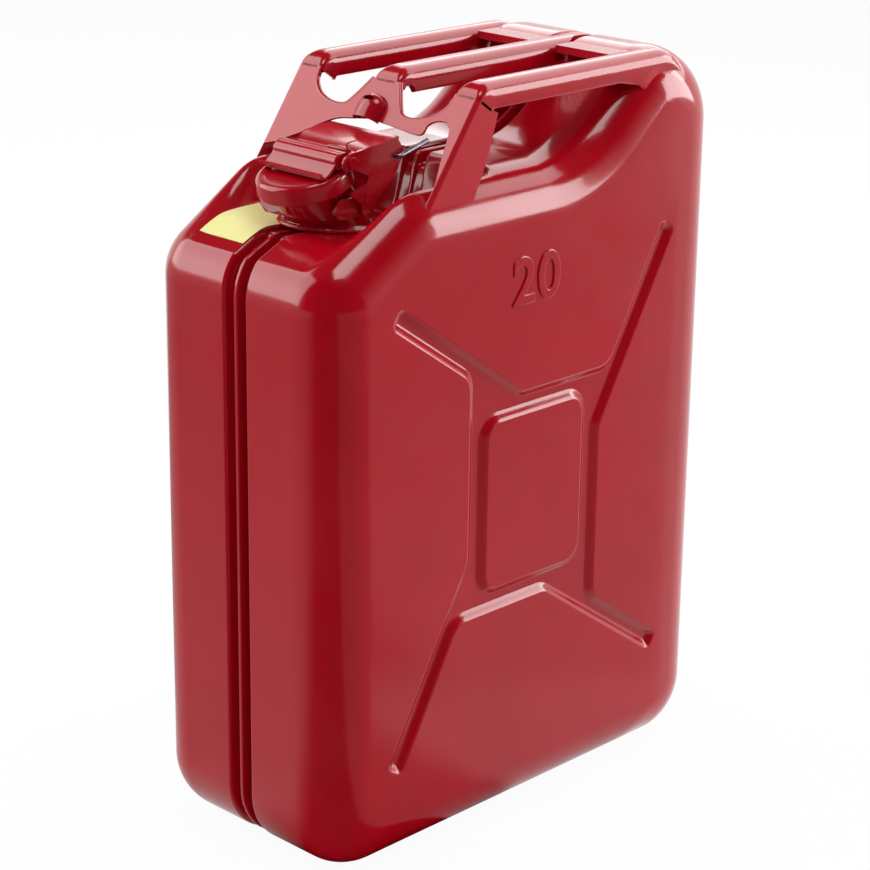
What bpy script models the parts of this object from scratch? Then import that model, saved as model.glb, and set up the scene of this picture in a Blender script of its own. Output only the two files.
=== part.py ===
# Twenty litre pressed steel jerry can, built as separate welded and moving pieces.
# Metres, +Z up. X runs along the length with the filler neck at -X, Y across the width.
# The origin is the centre of the base.
import math

import bmesh
import bpy
from mathutils import Matrix, Vector

for old in list(bpy.data.objects):
    bpy.data.objects.remove(old)

# Overall sizes
body_length = 0.345
body_width = 0.165
top_height = 0.422
hump_height = 0.476
handle_height = 0.476

# Sheet and fits
body_sheet = 0.001
handle_sheet = 0.0016
lever_sheet = 0.0016
seat_gap = 0.0003
running_gap = 0.0002
cut_overrun = 0.012

half_length = body_length / 2
half_width = body_width / 2

# Colours of the finish
enamel_red = (0.42, 0.017, 0.026)
zinc_grey = (0.55, 0.55, 0.57)
seal_black = (0.02, 0.02, 0.02)
label_yellow = (0.95, 0.93, 0.45)

parts = bpy.data.collections.new("jerry_can")
cutters = bpy.data.collections.new("cutters")
bpy.context.scene.collection.children.link(parts)
bpy.context.scene.collection.children.link(cutters)


def material(name, colour, roughness, metallic):
    surface = bpy.data.materials.new(name)
    surface.use_nodes = True
    shader = surface.node_tree.nodes["Principled BSDF"]
    shader.inputs["Base Color"].default_value = (*colour, 1)
    shader.inputs["Roughness"].default_value = roughness
    shader.inputs["Metallic"].default_value = metallic
    return surface


def piece(name, mesh, colour=enamel_red, roughness=0.22, metallic=0.0):
    """A named part of the can."""
    obj = bpy.data.objects.new(name, mesh)
    mesh.materials.append(material(name, colour, roughness, metallic))
    parts.objects.link(obj)
    return obj


def guide(name, mesh):
    """A shape that only cuts or joins another one."""
    obj = bpy.data.objects.new(name, mesh)
    cutters.objects.link(obj)
    obj.hide_render = True
    obj.display_type = "WIRE"
    return obj


def combine(obj, other, operation):
    boolean = obj.modifiers.new(operation.lower(), "BOOLEAN")
    boolean.operation = operation
    boolean.object = other
    boolean.solver = "EXACT"


def cut(obj, other):
    combine(obj, other, "DIFFERENCE")


def join(obj, other):
    combine(obj, other, "UNION")


def finished(bm, name):
    """The bmesh as a mesh whose faces point outwards."""
    bmesh.ops.recalc_face_normals(bm, faces=bm.faces)
    mesh = bpy.data.meshes.new(name)
    bm.to_mesh(mesh)
    bm.free()
    return mesh


def smooth(obj, angle=math.radians(35)):
    obj.data.shade_smooth()
    obj.data.set_sharp_from_angle(angle=angle)


def empty(name, place):
    holder = bpy.data.objects.new(name, None)
    parts.objects.link(holder)
    holder.location = place
    return holder


def carry(holder, obj):
    """Hang a piece, modelled in place, on the empty at its joint."""
    obj.parent = holder
    obj.matrix_parent_inverse = Matrix.Translation(-holder.location)


def ramp(value, start, end):
    """Smooth step from 0 at start to 1 at end."""
    share = min(max((value - start) / (end - start), 0), 1)
    return share * share * (3 - 2 * share)


def filleted(corners, radii, steps):
    """A closed outline with each corner replaced by an arc of steps + 1 points."""
    outline = []
    count = len(corners)
    for index, radius in enumerate(radii):
        corner = Vector(corners[index])
        back = (Vector(corners[index - 1]) - corner).normalized()
        ahead = (Vector(corners[(index + 1) % count]) - corner).normalized()
        half_angle = back.angle(ahead) / 2
        middle = corner + (back + ahead).normalized() * radius / math.sin(half_angle)
        first = corner + back * radius / math.tan(half_angle) - middle
        last = corner + ahead * radius / math.tan(half_angle) - middle
        turn = math.atan2(first.x * last.y - first.y * last.x, first.dot(last))
        for step in range(steps + 1):
            angle = turn * step / steps
            spun = Vector((first.x * math.cos(angle) - first.y * math.sin(angle),
                           first.x * math.sin(angle) + first.y * math.cos(angle)))
            outline.append(middle + spun)
    return outline


def inset(corners, distance):
    """Move each side of a closed counterclockwise outline inwards."""
    moved = []
    count = len(corners)
    for index in range(count):
        corner = Vector(corners[index])
        first = (corner - Vector(corners[index - 1])).normalized()
        second = (Vector(corners[(index + 1) % count]) - corner).normalized()
        first_in = Vector((-first.y, first.x))
        second_in = Vector((-second.y, second.x))
        moved.append(corner + (first_in + second_in) * distance / (1 + first_in.dot(second_in)))
    return moved


def prism(outline, low, high, name, frame=None):
    """A flat outline in X and Z, drawn through from Y low to Y high."""
    bm = bmesh.new()
    face = bm.faces.new([bm.verts.new((x, low, z)) for x, z in outline])
    grown = bmesh.ops.extrude_face_region(bm, geom=[face])
    lifted = [item for item in grown["geom"] if isinstance(item, bmesh.types.BMVert)]
    bmesh.ops.translate(bm, vec=(0, high - low, 0), verts=lifted)
    if frame:
        bmesh.ops.transform(bm, matrix=frame, verts=bm.verts)
    return finished(bm, name)


def rod(start, end, radius, name, sides=16):
    """A round bar between two points."""
    run = Vector(end) - Vector(start)
    bm = bmesh.new()
    bmesh.ops.create_cone(bm, cap_ends=True, segments=sides, radius1=radius, radius2=radius,
                          depth=run.length)
    turn = run.to_track_quat("Z", "Y").to_matrix().to_4x4()
    place = Matrix.Translation((Vector(start) + Vector(end)) / 2)
    bmesh.ops.transform(bm, matrix=place @ turn, verts=bm.verts)
    return finished(bm, name)


def skin(bm, rings):
    """Quads between neighbouring rings of points."""
    made = [[bm.verts.new(point) for point in ring] for ring in rings]
    for lower, upper in zip(made, made[1:]):
        for index in range(len(lower)):
            following = (index + 1) % len(lower)
            bm.faces.new((lower[index], lower[following], upper[following], upper[index]))
    return made


def loft(rings, name):
    """A closed solid skinned over rings of points."""
    bm = bmesh.new()
    made = skin(bm, rings)
    bm.faces.new(made[0])
    bm.faces.new(made[-1])
    return finished(bm, name)


# Side outline of the body, seen from -Y
front_corner_height = 0.3756
shoulder_angle = math.radians(33)
hump_front = 0.1045
hump_angle = math.radians(41)
base_radius = 0.042
front_top_radius = 0.036
shoulder_radius = 0.045
hump_foot_radius = 0.080
hump_front_radius = 0.036
rear_top_radius = 0.050

shoulder_top = -half_length + (top_height - front_corner_height) / math.tan(shoulder_angle)
hump_foot = hump_front - (hump_height - top_height) / math.tan(hump_angle)

# The pressed tray of each half
edge_radius = 0.033
channel_half = 0.009
channel_depth = 0.009
channel_lip = 0.0015
flange_drop = 0.0015
edge_start = half_width - edge_radius
edge_turns = [math.radians(turn) for turn in (0, 10, 20, 30, 42, 56, 72, 90)]

# The pressed well that carries the neck, between the two raised edges
neck_foot_x = -0.097
well_floor = 0.3879
well_fall = math.radians(6.14)
well_low = 0.383
well_front_angle = math.radians(27)
well_round = 0.004
well_flat_half = 0.044
well_edge_half = 0.066
well_rear_foot = -0.036
well_rear_top = -0.022
well_channel_share = 1 / 3
well_channel_start = -0.150
well_channel_full = -0.138
well_stations = [-0.150, -0.142, -0.132, -0.122, -0.116, -0.084, -0.060]
well_wall_shares = (0, 1 / 3, 2 / 3, 1)
well_rear_run = well_rear_top - well_rear_foot
well_stations += [well_rear_foot + share * well_rear_run for share in well_wall_shares]


def well_height(x):
    """Height of the well along the middle of the can."""
    front = front_corner_height + (x + half_length) * math.tan(well_front_angle)
    floor = max(well_floor - (x - neck_foot_x) * math.tan(well_fall), well_low)
    return (front + floor - math.hypot(front - floor, well_round)) / 2


def well_drop(x, z, y):
    """How far the well lowers a point of the top outline at a distance y from the seam."""
    depth = max(z - well_height(x), 0) * (1 - ramp(x, well_rear_foot, well_rear_top))
    return depth * (1 - ramp(abs(y), well_flat_half, well_edge_half))


def channel_share(x):
    """The seam channel is pressed shallow where the neck is welded on."""
    inside = ramp(x, well_channel_start, well_channel_full) - ramp(x, well_rear_foot, well_rear_top)
    return 1 - (1 - well_channel_share) * inside


def body_outline():
    """Points and outward normals round the side outline, counterclockwise from the base."""
    corners = [(-half_length, 0), (half_length, 0), (half_length, hump_height),
               (hump_front, hump_height), (hump_foot, top_height), (shoulder_top, top_height),
               (-half_length, front_corner_height)]
    radii = [base_radius, base_radius, rear_top_radius, hump_front_radius,
             hump_foot_radius, shoulder_radius, front_top_radius]
    turns = [6, 6, 6, 4, 4, 4, 6]
    stations = []
    count = len(corners)
    for index in range(count):
        corner = Vector(corners[index])
        back = (corner - Vector(corners[index - 1])).normalized()
        ahead = (Vector(corners[(index + 1) % count]) - corner).normalized()
        turn = math.atan2(back.x * ahead.y - back.y * ahead.x, back.dot(ahead))
        run = radii[index] * math.tan(abs(turn) / 2)
        outward = Vector((back.y, -back.x))
        middle = corner - back * run - outward * math.copysign(radii[index], turn)
        arc = []
        for step in range(turns[index] + 1):
            angle = turn * step / turns[index]
            normal = Vector((outward.x * math.cos(angle) - outward.y * math.sin(angle),
                             outward.x * math.sin(angle) + outward.y * math.cos(angle)))
            arc.append((middle + normal * math.copysign(radii[index], turn), normal))
        if stations:
            start, normal = stations[-1]
            end = arc[0][0]
            for x in sorted(well_stations, reverse=True):
                if end.x < x < start.x:
                    stations.append((start.lerp(end, (start.x - x) / (start.x - end.x)), normal))
        stations.extend(arc)
    return stations


def edge_section():
    """The rounded edge of a half, from the top of the tray down to its wide face."""
    points = []
    for turn in edge_turns:
        points.append((edge_start + edge_radius * math.sin(turn), edge_radius * (1 - math.cos(turn))))
    return points


def tray_point(station, y, depth):
    """A point of the pressed tray: depth inside the outline, at a distance y from the seam."""
    place, normal = station
    drop = well_drop(place.x, place.y, y) if normal.y > 0 else 0
    return (place.x - normal.x * depth, place.y - normal.y * depth - drop)


# Pressed cross on the wide faces
cross_height = 0.2155
cross_reach_x = 0.128
cross_reach_z = 0.156
pad_half_x = 0.042
pad_half_z = 0.053
pad_radius = 0.010
frame_width_x = 0.018
frame_width_z = 0.017
cross_depth = 0.0038
cross_wall = 0.005
arm_tip_radius = 0.006
arm_root_radius = 0.012
cross_steps = 3

frame_half_x = pad_half_x + frame_width_x
frame_half_z = pad_half_z + frame_width_z

# Half of the cross outline, as shares of its reach; the other half is the same turned by half a turn
steep_tip_shares = [(0.922, 0.923), (0.992, 0.840)]
shallow_tip_shares = [(1.0, 0.949), (0.891, 1.0)]
upper_root_share = 0.545
lower_root_share = 0.192
inner_root_share = 0.09


def cross_corners():
    half = [(-steep_tip_shares[1][0] * cross_reach_x, steep_tip_shares[1][1] * cross_reach_z),
            (-frame_half_x, upper_root_share * cross_reach_z),
            (-frame_half_x, -lower_root_share * cross_reach_z),
            (-shallow_tip_shares[0][0] * cross_reach_x, -shallow_tip_shares[0][1] * cross_reach_z),
            (-shallow_tip_shares[1][0] * cross_reach_x, -shallow_tip_shares[1][1] * cross_reach_z),
            (-(frame_half_x + cross_wall), -frame_half_z),
            (inner_root_share * cross_reach_x, -frame_half_z),
            (steep_tip_shares[0][0] * cross_reach_x, -steep_tip_shares[0][1] * cross_reach_z)]
    return half + [(-x, -z) for x, z in half]


def cross_outline(distance):
    """The cross outline moved inwards; its tips grow sharper and its roots rounder."""
    tip = max(arm_tip_radius - distance, body_sheet)
    root = arm_root_radius + distance
    radii = [tip, root, root, tip, tip, root, root, tip]
    rounded = filleted(inset(cross_corners(), distance), radii + radii, cross_steps)
    return [(x, z + cross_height) for x, z in rounded]


def pad_outline(grow):
    corners = [(-pad_half_x - grow, -pad_half_z - grow), (pad_half_x + grow, -pad_half_z - grow),
               (pad_half_x + grow, pad_half_z + grow), (-pad_half_x - grow, pad_half_z + grow)]
    rounded = filleted(corners, [pad_radius + grow] * len(corners), cross_steps)
    return [(x, z + cross_height) for x, z in rounded]


def body_half(name, side):
    """One pressed tray: seam flange, channel, rounded edge and the wide face with its cross."""
    bm = bmesh.new()
    flange_half = seat_gap / 2 + body_sheet
    rows = []
    for station in body_outline():
        depth = channel_depth * channel_share(station[0].x)
        section = [(flange_half, flange_drop), (flange_half, depth),
                   (channel_half - channel_lip, depth), (channel_half, channel_lip),
                   (channel_half + channel_lip, 0), (well_flat_half, 0)]
        section += edge_section()
        row = []
        for y, inward in section:
            x, z = tray_point(station, y, inward)
            row.append(bm.verts.new((x, side * y, z)))
        rows.append(row)
    for row, following in zip(rows, rows[1:] + rows[:1]):
        for index in range(len(row) - 1):
            bm.faces.new((row[index], row[index + 1], following[index + 1], following[index]))

    def ring(points, depth):
        return [bm.verts.new((x, side * (half_width - depth), z)) for x, z in points]

    def edges(verts):
        found = []
        for first, second in zip(verts, verts[1:] + verts[:1]):
            found.append(bm.edges.get((first, second)) or bm.edges.new((first, second)))
        return found

    def wall(outer, inner):
        for index in range(len(outer)):
            following = (index + 1) % len(outer)
            bm.faces.new((outer[index], outer[following], inner[following], inner[index]))

    rim = [row[-1] for row in rows]
    cross_top = ring(cross_outline(0), 0)
    cross_floor = ring(cross_outline(cross_wall), cross_depth)
    pad_floor = ring(pad_outline(cross_wall), cross_depth)
    pad_top = ring(pad_outline(0), 0)
    wall(cross_top, cross_floor)
    wall(pad_top, pad_floor)
    for loops in ((rim, cross_top), (cross_floor, pad_floor), (pad_top,)):
        border = [edge for loop in loops for edge in edges(loop)]
        bmesh.ops.triangle_fill(bm, edges=border, use_beauty=True)
    mesh = finished(bm, name)
    wide = max(mesh.polygons, key=lambda face: face.center.y * side)
    if wide.normal.y * side < 0:
        mesh.flip_normals()
    obj = piece(name, mesh)
    shell = obj.modifiers.new("sheet", "SOLIDIFY")
    shell.thickness = body_sheet
    shell.offset = -1
    shell.use_even_offset = True
    shell.use_quality_normals = True
    smooth(obj)
    return obj


def body_envelope(name, grow):
    """The outer form of the whole body as one solid, used to seat what stands on it."""
    section = [(well_flat_half, 0), *edge_section()]
    section = [(-y, inward) for y, inward in reversed(section)] + section
    rings = []
    for y, inward in section:
        ring = []
        for station in body_outline():
            x, z = tray_point(station, y, inward - grow)
            ring.append((x, y + grow * y / half_width, z))
        rings.append(ring)
    return guide(name, loft(rings, name))


body_half_near = body_half("body_half_near", -1)
body_half_far = body_half("body_half_far", 1)
envelope = body_envelope("body_envelope", seat_gap)

# Cap plane and the axes of the closure
cap_centre = Vector((-0.118, 0, 0.424))
cap_tilt = math.radians(13)
cap_radius = 0.0281
cap_rim_radius = 0.0289
cap_height = 0.0105
cap_sheet = 0.0012
gasket_thickness = 0.0025
lever_pivot = Vector((-0.0945, 0, 0.4075))
rivet_axis = Vector((-0.1065, 0, 0.4316))
pin_axis = Vector((-0.0715, 0, 0.4305))

cap_up = Vector((-math.sin(cap_tilt), 0, math.cos(cap_tilt)))
cap_frame = Matrix.Translation(cap_centre) @ Matrix.Rotation(-cap_tilt, 4, "Y")
mouth_centre = cap_centre - cap_up * (cap_sheet + gasket_thickness + seat_gap + seat_gap)

# Filler neck, a leaning tube from an oval foot in the well up to a round mouth
neck_sheet = 0.0014
mouth_radius = 0.0235
bead_rise = 0.0010
foot_half_x = 0.027
foot_half_y = 0.0235
foot_flange = 0.0040
foot_round = 0.0016
neck_sides = 28

foot_centre = Vector((neck_foot_x, 0, well_floor + seat_gap + neck_sheet))
neck_run = mouth_centre - foot_centre
neck_lean = neck_run.normalized()


def neck_ring(share, swell, lift=0):
    """An oval ring between the foot, at 0, and the mouth, at 1."""
    centre = foot_centre + neck_run * share + neck_lean * lift
    half_x = foot_half_x + (mouth_radius - foot_half_x) * share + swell
    half_y = foot_half_y + (mouth_radius - foot_half_y) * share + swell
    tilt = -well_fall + (cap_tilt + well_fall) * share
    ring = []
    for step in range(neck_sides):
        angle = math.tau * step / neck_sides
        along = half_x * math.cos(angle)
        across = half_y * math.sin(angle)
        ring.append(centre + Vector((along * math.cos(tilt), across, along * math.sin(tilt))))
    return ring


bead_shares = [(0.5, 0), (0.86, 0), (0.90, bead_rise), (0.95, bead_rise), (1, 0)]
neck_rings = [neck_ring(0, foot_flange), neck_ring(0, foot_round),
              neck_ring(0, foot_round / 4, foot_round / 4), neck_ring(0, 0, foot_round)]
neck_rings += [neck_ring(share, swell) for share, swell in bead_shares]
neck_bm = bmesh.new()
skin(neck_bm, neck_rings)
neck_mesh = finished(neck_bm, "filler_neck")
if neck_mesh.polygons[0].normal.z < 0:
    neck_mesh.flip_normals()
filler_neck = piece("filler_neck", neck_mesh)
neck_shell = filler_neck.modifiers.new("sheet", "SOLIDIFY")
neck_shell.thickness = neck_sheet
neck_shell.offset = -1
neck_shell.use_even_offset = True
smooth(filler_neck)

# The hole in both halves under the neck
hole_margin = 0.0025
hole_shrink = -neck_sheet - hole_margin
hole_rings = [neck_ring(0, hole_shrink, lift) for lift in (-cut_overrun, cut_overrun)]
neck_hole = guide("neck_hole", loft(hole_rings, "neck_hole"))
cut(body_half_near, neck_hole)
cut(body_half_far, neck_hole)

# Side brackets of the neck, with the studs that the lever turns on
bracket_sheet = 0.0016
bracket_inner = 0.0260
bracket_front = -0.117
bracket_rear_reach = 0.0095
bracket_rise = 0.0025
bracket_height = 0.012
bracket_round = 0.0045
boss_radius = 0.005
boss_offset = 0.0175
boss_drop = 0.0045
stud_radius = 0.0022
lever_side_gap = 0.0008
stud_end_gap = 0.0004

bracket_outer = bracket_inner + bracket_sheet
cheek_inner = bracket_outer + lever_side_gap
cheek_outer = cheek_inner + lever_sheet
bracket_middle = bracket_inner + bracket_sheet / 2


def neck_bracket(name, side):
    rear = lever_pivot.x + bracket_rear_reach
    top = lever_pivot.z + bracket_rise
    corners = [(bracket_front, top - bracket_height), (rear, top - bracket_height),
               (rear, top), (bracket_front, top)]
    outline = filleted(corners, [bracket_round] * len(corners), 3)
    low, high = sorted((side * bracket_inner, side * bracket_outer))
    plate = piece(name, prism(outline, low, high, name))
    boss_x = lever_pivot.x - boss_offset
    boss_z = lever_pivot.z - boss_drop
    boss_inner = foot_half_y + seat_gap
    boss = rod((boss_x, side * boss_inner, boss_z), (boss_x, side * bracket_middle, boss_z),
               boss_radius, name + "_boss")
    join(plate, guide(name + "_boss", boss))
    stud = rod((lever_pivot.x, side * bracket_middle, lever_pivot.z),
               (lever_pivot.x, side * (cheek_outer + stud_end_gap), lever_pivot.z),
               stud_radius, name + "_stud")
    join(plate, guide(name + "_stud", stud))
    smooth(plate)
    return plate


neck_bracket("neck_bracket_near", -1)
neck_bracket("neck_bracket_far", 1)

# Vent tube from the mouth down through the neck and back towards the air space under the hump
vent_radius = 0.0045
vent_wall = 0.0008
vent_clearance = 0.0070
vent_side_gap = 0.0030
vent_mouth_drop = 0.006
vent_rear_x = 0.060
vent_end_x = 0.066
vent_end_z = 0.412
vent_reach = 0.012
bend_steps = 4

vent_offset = mouth_radius - neck_sheet - vent_radius - vent_side_gap
vent_low = well_low - channel_depth * well_channel_share - body_sheet - vent_clearance
vent_top = mouth_centre - neck_lean * vent_mouth_drop + Vector((vent_offset * math.cos(cap_tilt), 0, 0))
vent_elbow = vent_top - neck_lean * (vent_top.z - vent_low) / neck_lean.z
vent_corner = Vector((vent_rear_x, 0, vent_low))
vent_end = Vector((vent_end_x, 0, vent_end_z))


def bend(before, corner, after, reach):
    """Points of a bend that leaves and meets the straight runs smoothly."""
    start = corner + (before - corner).normalized() * reach
    end = corner + (after - corner).normalized() * reach
    points = []
    for step in range(bend_steps + 1):
        share = step / bend_steps
        points.append(start.lerp(corner, share).lerp(corner.lerp(end, share), share))
    return points


def tube(name, points, radius):
    """A round bar along a path, as one closed mesh."""
    curve = bpy.data.curves.new(name, "CURVE")
    curve.dimensions = "3D"
    curve.bevel_depth = radius
    curve.bevel_resolution = 2
    curve.use_fill_caps = True
    line = curve.splines.new("POLY")
    line.points.add(len(points) - 1)
    for slot, point in zip(line.points, points):
        slot.co = (*point, 1)
    path = bpy.data.objects.new(name + "_path", curve)
    cutters.objects.link(path)
    bpy.context.view_layer.update()
    mesh = bpy.data.meshes.new_from_object(path.evaluated_get(bpy.context.evaluated_depsgraph_get()))
    bpy.data.objects.remove(path)
    bm = bmesh.new()
    bm.from_mesh(mesh)
    bmesh.ops.remove_doubles(bm, verts=bm.verts, dist=running_gap / 10)
    return finished(bm, name)


vent_points = [vent_top, *bend(vent_top, vent_elbow, vent_corner, vent_reach),
               *bend(vent_elbow, vent_corner, vent_end, vent_reach), vent_end]
vent_mesh = tube("breather_tube", vent_points, vent_radius)
breather_tube = piece("breather_tube", vent_mesh, zinc_grey, 0.4, 1.0)
bore_start = vent_top + (vent_top - vent_points[1]).normalized() * cut_overrun
bore_end = vent_end + (vent_end - vent_points[-2]).normalized() * cut_overrun
bore_points = [bore_start, *vent_points[1:-1], bore_end]
cut(breather_tube, guide("breather_bore", tube("breather_bore", bore_points, vent_radius - vent_wall)))
smooth(breather_tube)

# Handle frame: a leaning front plate in two halves, three bars and two rear cross strips
plate_foot = Vector((-0.084, 0.420))
plate_lean = math.radians(54.9)
plate_half_width = 0.0762
plate_join = 0.0592
foot_depth = 0.040
flange_foot = Vector((-0.054, 0.4065))
flange_waist = Vector((-0.041, 0.434))
flange_top = Vector((-0.0335, 0.4577))
bar_depth = 0.016

plate_along = Vector((math.cos(plate_lean), math.sin(plate_lean)))
plate_front = Vector((-math.sin(plate_lean), math.cos(plate_lean)))
slope_frame = Matrix(((plate_along.x, 0, plate_front.x, plate_foot.x), (0, 1, 0, 0),
                      (plate_along.y, 0, plate_front.y, plate_foot.y), (0, 0, 0, 1)))


def slope_point(run, depth=0):
    """A place on the front plate: run up the slope, depth behind its face."""
    return plate_foot + plate_along * run - plate_front * depth


# The arch over the lever, the wider notch for the locking pin in its near half, and the finger
# dips. The arch and dips are shares of their spans; the notch is in widths and runs up the slope.
arch_middle = 0.0335
arch_foot = 0.003
arch_half = 0.075
arch_shares = [(0, 1), (0.173, 0.934), (0.373, 0.82), (0.64, 0.41), (0.773, 0.197), (1, 0)]
notch_side = [(0.0200, 0.0318), (0.0440, 0.0300), (0.0475, 0.0370), (0.0530, 0.0405),
              (0.0615, 0.0405), (0.0660, 0.0340), (0.0700, 0.0150), (0.0732, 0.0030)]
dip_inner = 0.0110
dip_outer = 0.0570
dip_low = 0.0385
dip_shares = [(0, 1), (0.17, 0.35), (0.30, 0.03), (0.54, 0), (0.80, 0.20), (0.967, 0.55), (1, 0.82)]


def slope_cutter(name, outline):
    """A cutter through the plate; the outline is in width and run up the slope."""
    bm = bmesh.new()
    face = bm.faces.new([bm.verts.new((run, width, -cut_overrun)) for width, run in outline])
    grown = bmesh.ops.extrude_face_region(bm, geom=[face])
    lifted = [item for item in grown["geom"] if isinstance(item, bmesh.types.BMVert)]
    bmesh.ops.translate(bm, vec=(0, 0, cut_overrun + cut_overrun), verts=lifted)
    bmesh.ops.transform(bm, matrix=slope_frame, verts=bm.verts)
    return guide(name, finished(bm, name))


arch_rise = arch_middle - arch_foot
arch_side = [(across * arch_half, arch_foot + up * arch_rise) for across, up in arch_shares]
arch_side[-1] = (plate_half_width - handle_sheet, arch_foot)
arch_outline = [(-width, run) for width, run in reversed(notch_side)] + arch_side
arch_outline += [(arch_side[-1][0], -foot_depth - foot_depth),
                 (-notch_side[-1][0], -foot_depth - foot_depth)]
arch_cutter = slope_cutter("arch_cutter", arch_outline)


def front_plate(name, side):
    """Half of the front plate: a leaning sheet with a side flange that stands on the body."""
    block = [slope_point(-foot_depth), flange_foot, flange_waist, flange_top,
             slope_point(plate_join, bar_depth), slope_point(plate_join)]
    low, high = sorted((side * seat_gap / 2, side * plate_half_width))
    plate = piece(name, prism(block, low, high, name))
    hollow = [slope_point(-foot_depth - cut_overrun, handle_sheet),
              (0, plate_foot.y - foot_depth - foot_depth),
              (0, handle_height), slope_point(plate_join + cut_overrun, handle_sheet)]
    low, high = sorted((-side * cut_overrun, side * (plate_half_width - handle_sheet)))
    cut(plate, guide(name + "_hollow", prism(hollow, low, high, name + "_hollow")))
    cut(plate, arch_cutter)
    span = dip_outer - dip_inner
    rise = plate_join - dip_low
    dip = [(side * (dip_inner + across * span), dip_low + up * rise) for across, up in dip_shares]
    dip += [(side * dip_outer, plate_join + cut_overrun), (side * dip_inner, plate_join + cut_overrun)]
    cut(plate, slope_cutter(name + "_dip", dip))
    cut(plate, envelope)
    return plate


front_plate("handle_plate_near", -1)
front_plate("handle_plate_far", 1)

# Bars: inverted channels bent down at the front to meet the plate
bar_bend = 0.017
bar_edge_radius = 0.006
bar_edge_steps = 3
outer_bar_width = 0.0200
centre_bar_width = 0.0220
bar_skirt = 0.036
bar_skirt_start = 0.076
bar_skirt_full = 0.092
bar_fall_start = 0.120
bar_fall_middle = 0.127
bar_fall_end = 0.1345
bar_tail_end = 0.138
bar_fall = 0.0085
bar_tail_fall = 0.0165
bar_bend_steps = 5

outer_bar_y = plate_half_width - outer_bar_width / 2
bend_corner_run = (handle_height - plate_foot.y) / plate_along.y
bend_reach = bar_bend * math.tan(plate_lean / 2)


def bar_section(width, depth):
    """Closed outline of an inverted channel, across and down from the crown."""
    outline = []
    for sheet, order in ((0, 1), (handle_sheet, -1)):
        half = width / 2 - sheet
        radius = bar_edge_radius - sheet
        points = [(-half, depth)]
        for side in (-1, 1):
            for step in range(bar_edge_steps + 1):
                angle = math.pi / 2 * step / bar_edge_steps
                across = math.cos(angle) if side < 0 else math.sin(angle)
                up = math.sin(angle) if side < 0 else math.cos(angle)
                points.append((side * (half - radius + radius * across), sheet + radius - radius * up))
        points.append((half, depth))
        outline.extend(points[::order])
    return outline


def handle_bar(name, centre_y, width):
    """A bar lofted round its front bend and over to the hump, then trimmed to the body."""
    start = slope_point(bend_corner_run - bend_reach)
    middle = start - plate_front * bar_bend
    path = [(slope_point(plate_join + seat_gap), plate_lean, bar_depth)]
    for step in range(bar_bend_steps + 1):
        angle = plate_lean * (1 - step / bar_bend_steps)
        path.append((middle + Vector((-math.sin(angle), math.cos(angle))) * bar_bend, angle, bar_depth))
    rear = [(bar_skirt_start, 0, bar_depth), (bar_skirt_full, 0, bar_skirt),
            (bar_fall_start, 0, bar_skirt), (bar_fall_middle, bar_fall / 4, bar_skirt),
            (bar_fall_end, bar_fall, bar_skirt), (bar_tail_end, bar_tail_fall, bar_skirt)]
    for x, fall, depth in rear:
        path.append((Vector((x, handle_height - fall)), 0, depth - fall))
    rings = []
    for place, angle, depth in path:
        down = Vector((math.sin(angle), -math.cos(angle)))
        ring = []
        for across, deep in bar_section(width, depth):
            point = place + down * deep
            ring.append((point.x, centre_y + across, point.y))
        rings.append(ring)
    bar = piece(name, loft(rings, name))
    cut(bar, envelope)
    smooth(bar)
    return bar


handle_bar("handle_bar_near", -outer_bar_y, outer_bar_width)
handle_bar("handle_bar_centre", 0, centre_bar_width)
handle_bar("handle_bar_far", outer_bar_y, outer_bar_width)

# Rear cross strips between the bars, lipped at the front and seated on the hump behind
strip_front = 0.088
strip_rear = 0.112
strip_drop = 0.002
strip_lip = 0.005


def rear_strip(name, side):
    top = handle_height - strip_drop
    low = top - strip_lip
    outline = [(strip_front, low), (strip_front, top), (strip_rear, top),
               (strip_rear, top - handle_sheet), (strip_front + handle_sheet, top - handle_sheet),
               (strip_front + handle_sheet, low)]
    inner_y = centre_bar_width / 2 + seat_gap
    outer_y = outer_bar_y - outer_bar_width / 2 - seat_gap
    low_y, high_y = sorted((side * inner_y, side * outer_y))
    strip = piece(name, prism(outline, low_y, high_y, name))
    cut(strip, envelope)
    return strip


rear_strip("rear_strip_near", -1)
rear_strip("rear_strip_far", 1)

# Pressed tongue on the middle of the front plate, with a slot for a seal wire
tongue_half = 0.010
tongue_low = 0.031
tongue_high = 0.048
tongue_bulge = 0.008
tongue_steps = 8
slot_run = 0.044
slot_half = 0.004
slot_height = 0.004

tongue_rings = []
for run in (tongue_low, tongue_high):
    ring = []
    for sheet, steps in ((0, range(tongue_steps + 1)), (handle_sheet, range(tongue_steps, -1, -1))):
        for step in steps:
            angle = math.pi * step / tongue_steps
            ring.append((run, -(tongue_half - sheet) * math.cos(angle),
                         seat_gap + (tongue_bulge - sheet) * math.sin(angle)))
    tongue_rings.append([slope_frame @ Vector(point) for point in ring])
tongue = piece("handle_tongue", loft(tongue_rings, "handle_tongue"))
slot_low = slot_run - slot_height / 2
slot_high = slot_run + slot_height / 2
slot_outline = [(slot_low, tongue_bulge / 2), (slot_high, tongue_bulge / 2),
                (slot_high, cut_overrun), (slot_low, cut_overrun)]
slot_mesh = prism(slot_outline, -slot_half, slot_half, "tongue_slot", slope_frame)
cut(tongue, guide("tongue_slot", slot_mesh))
smooth(tongue)

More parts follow.
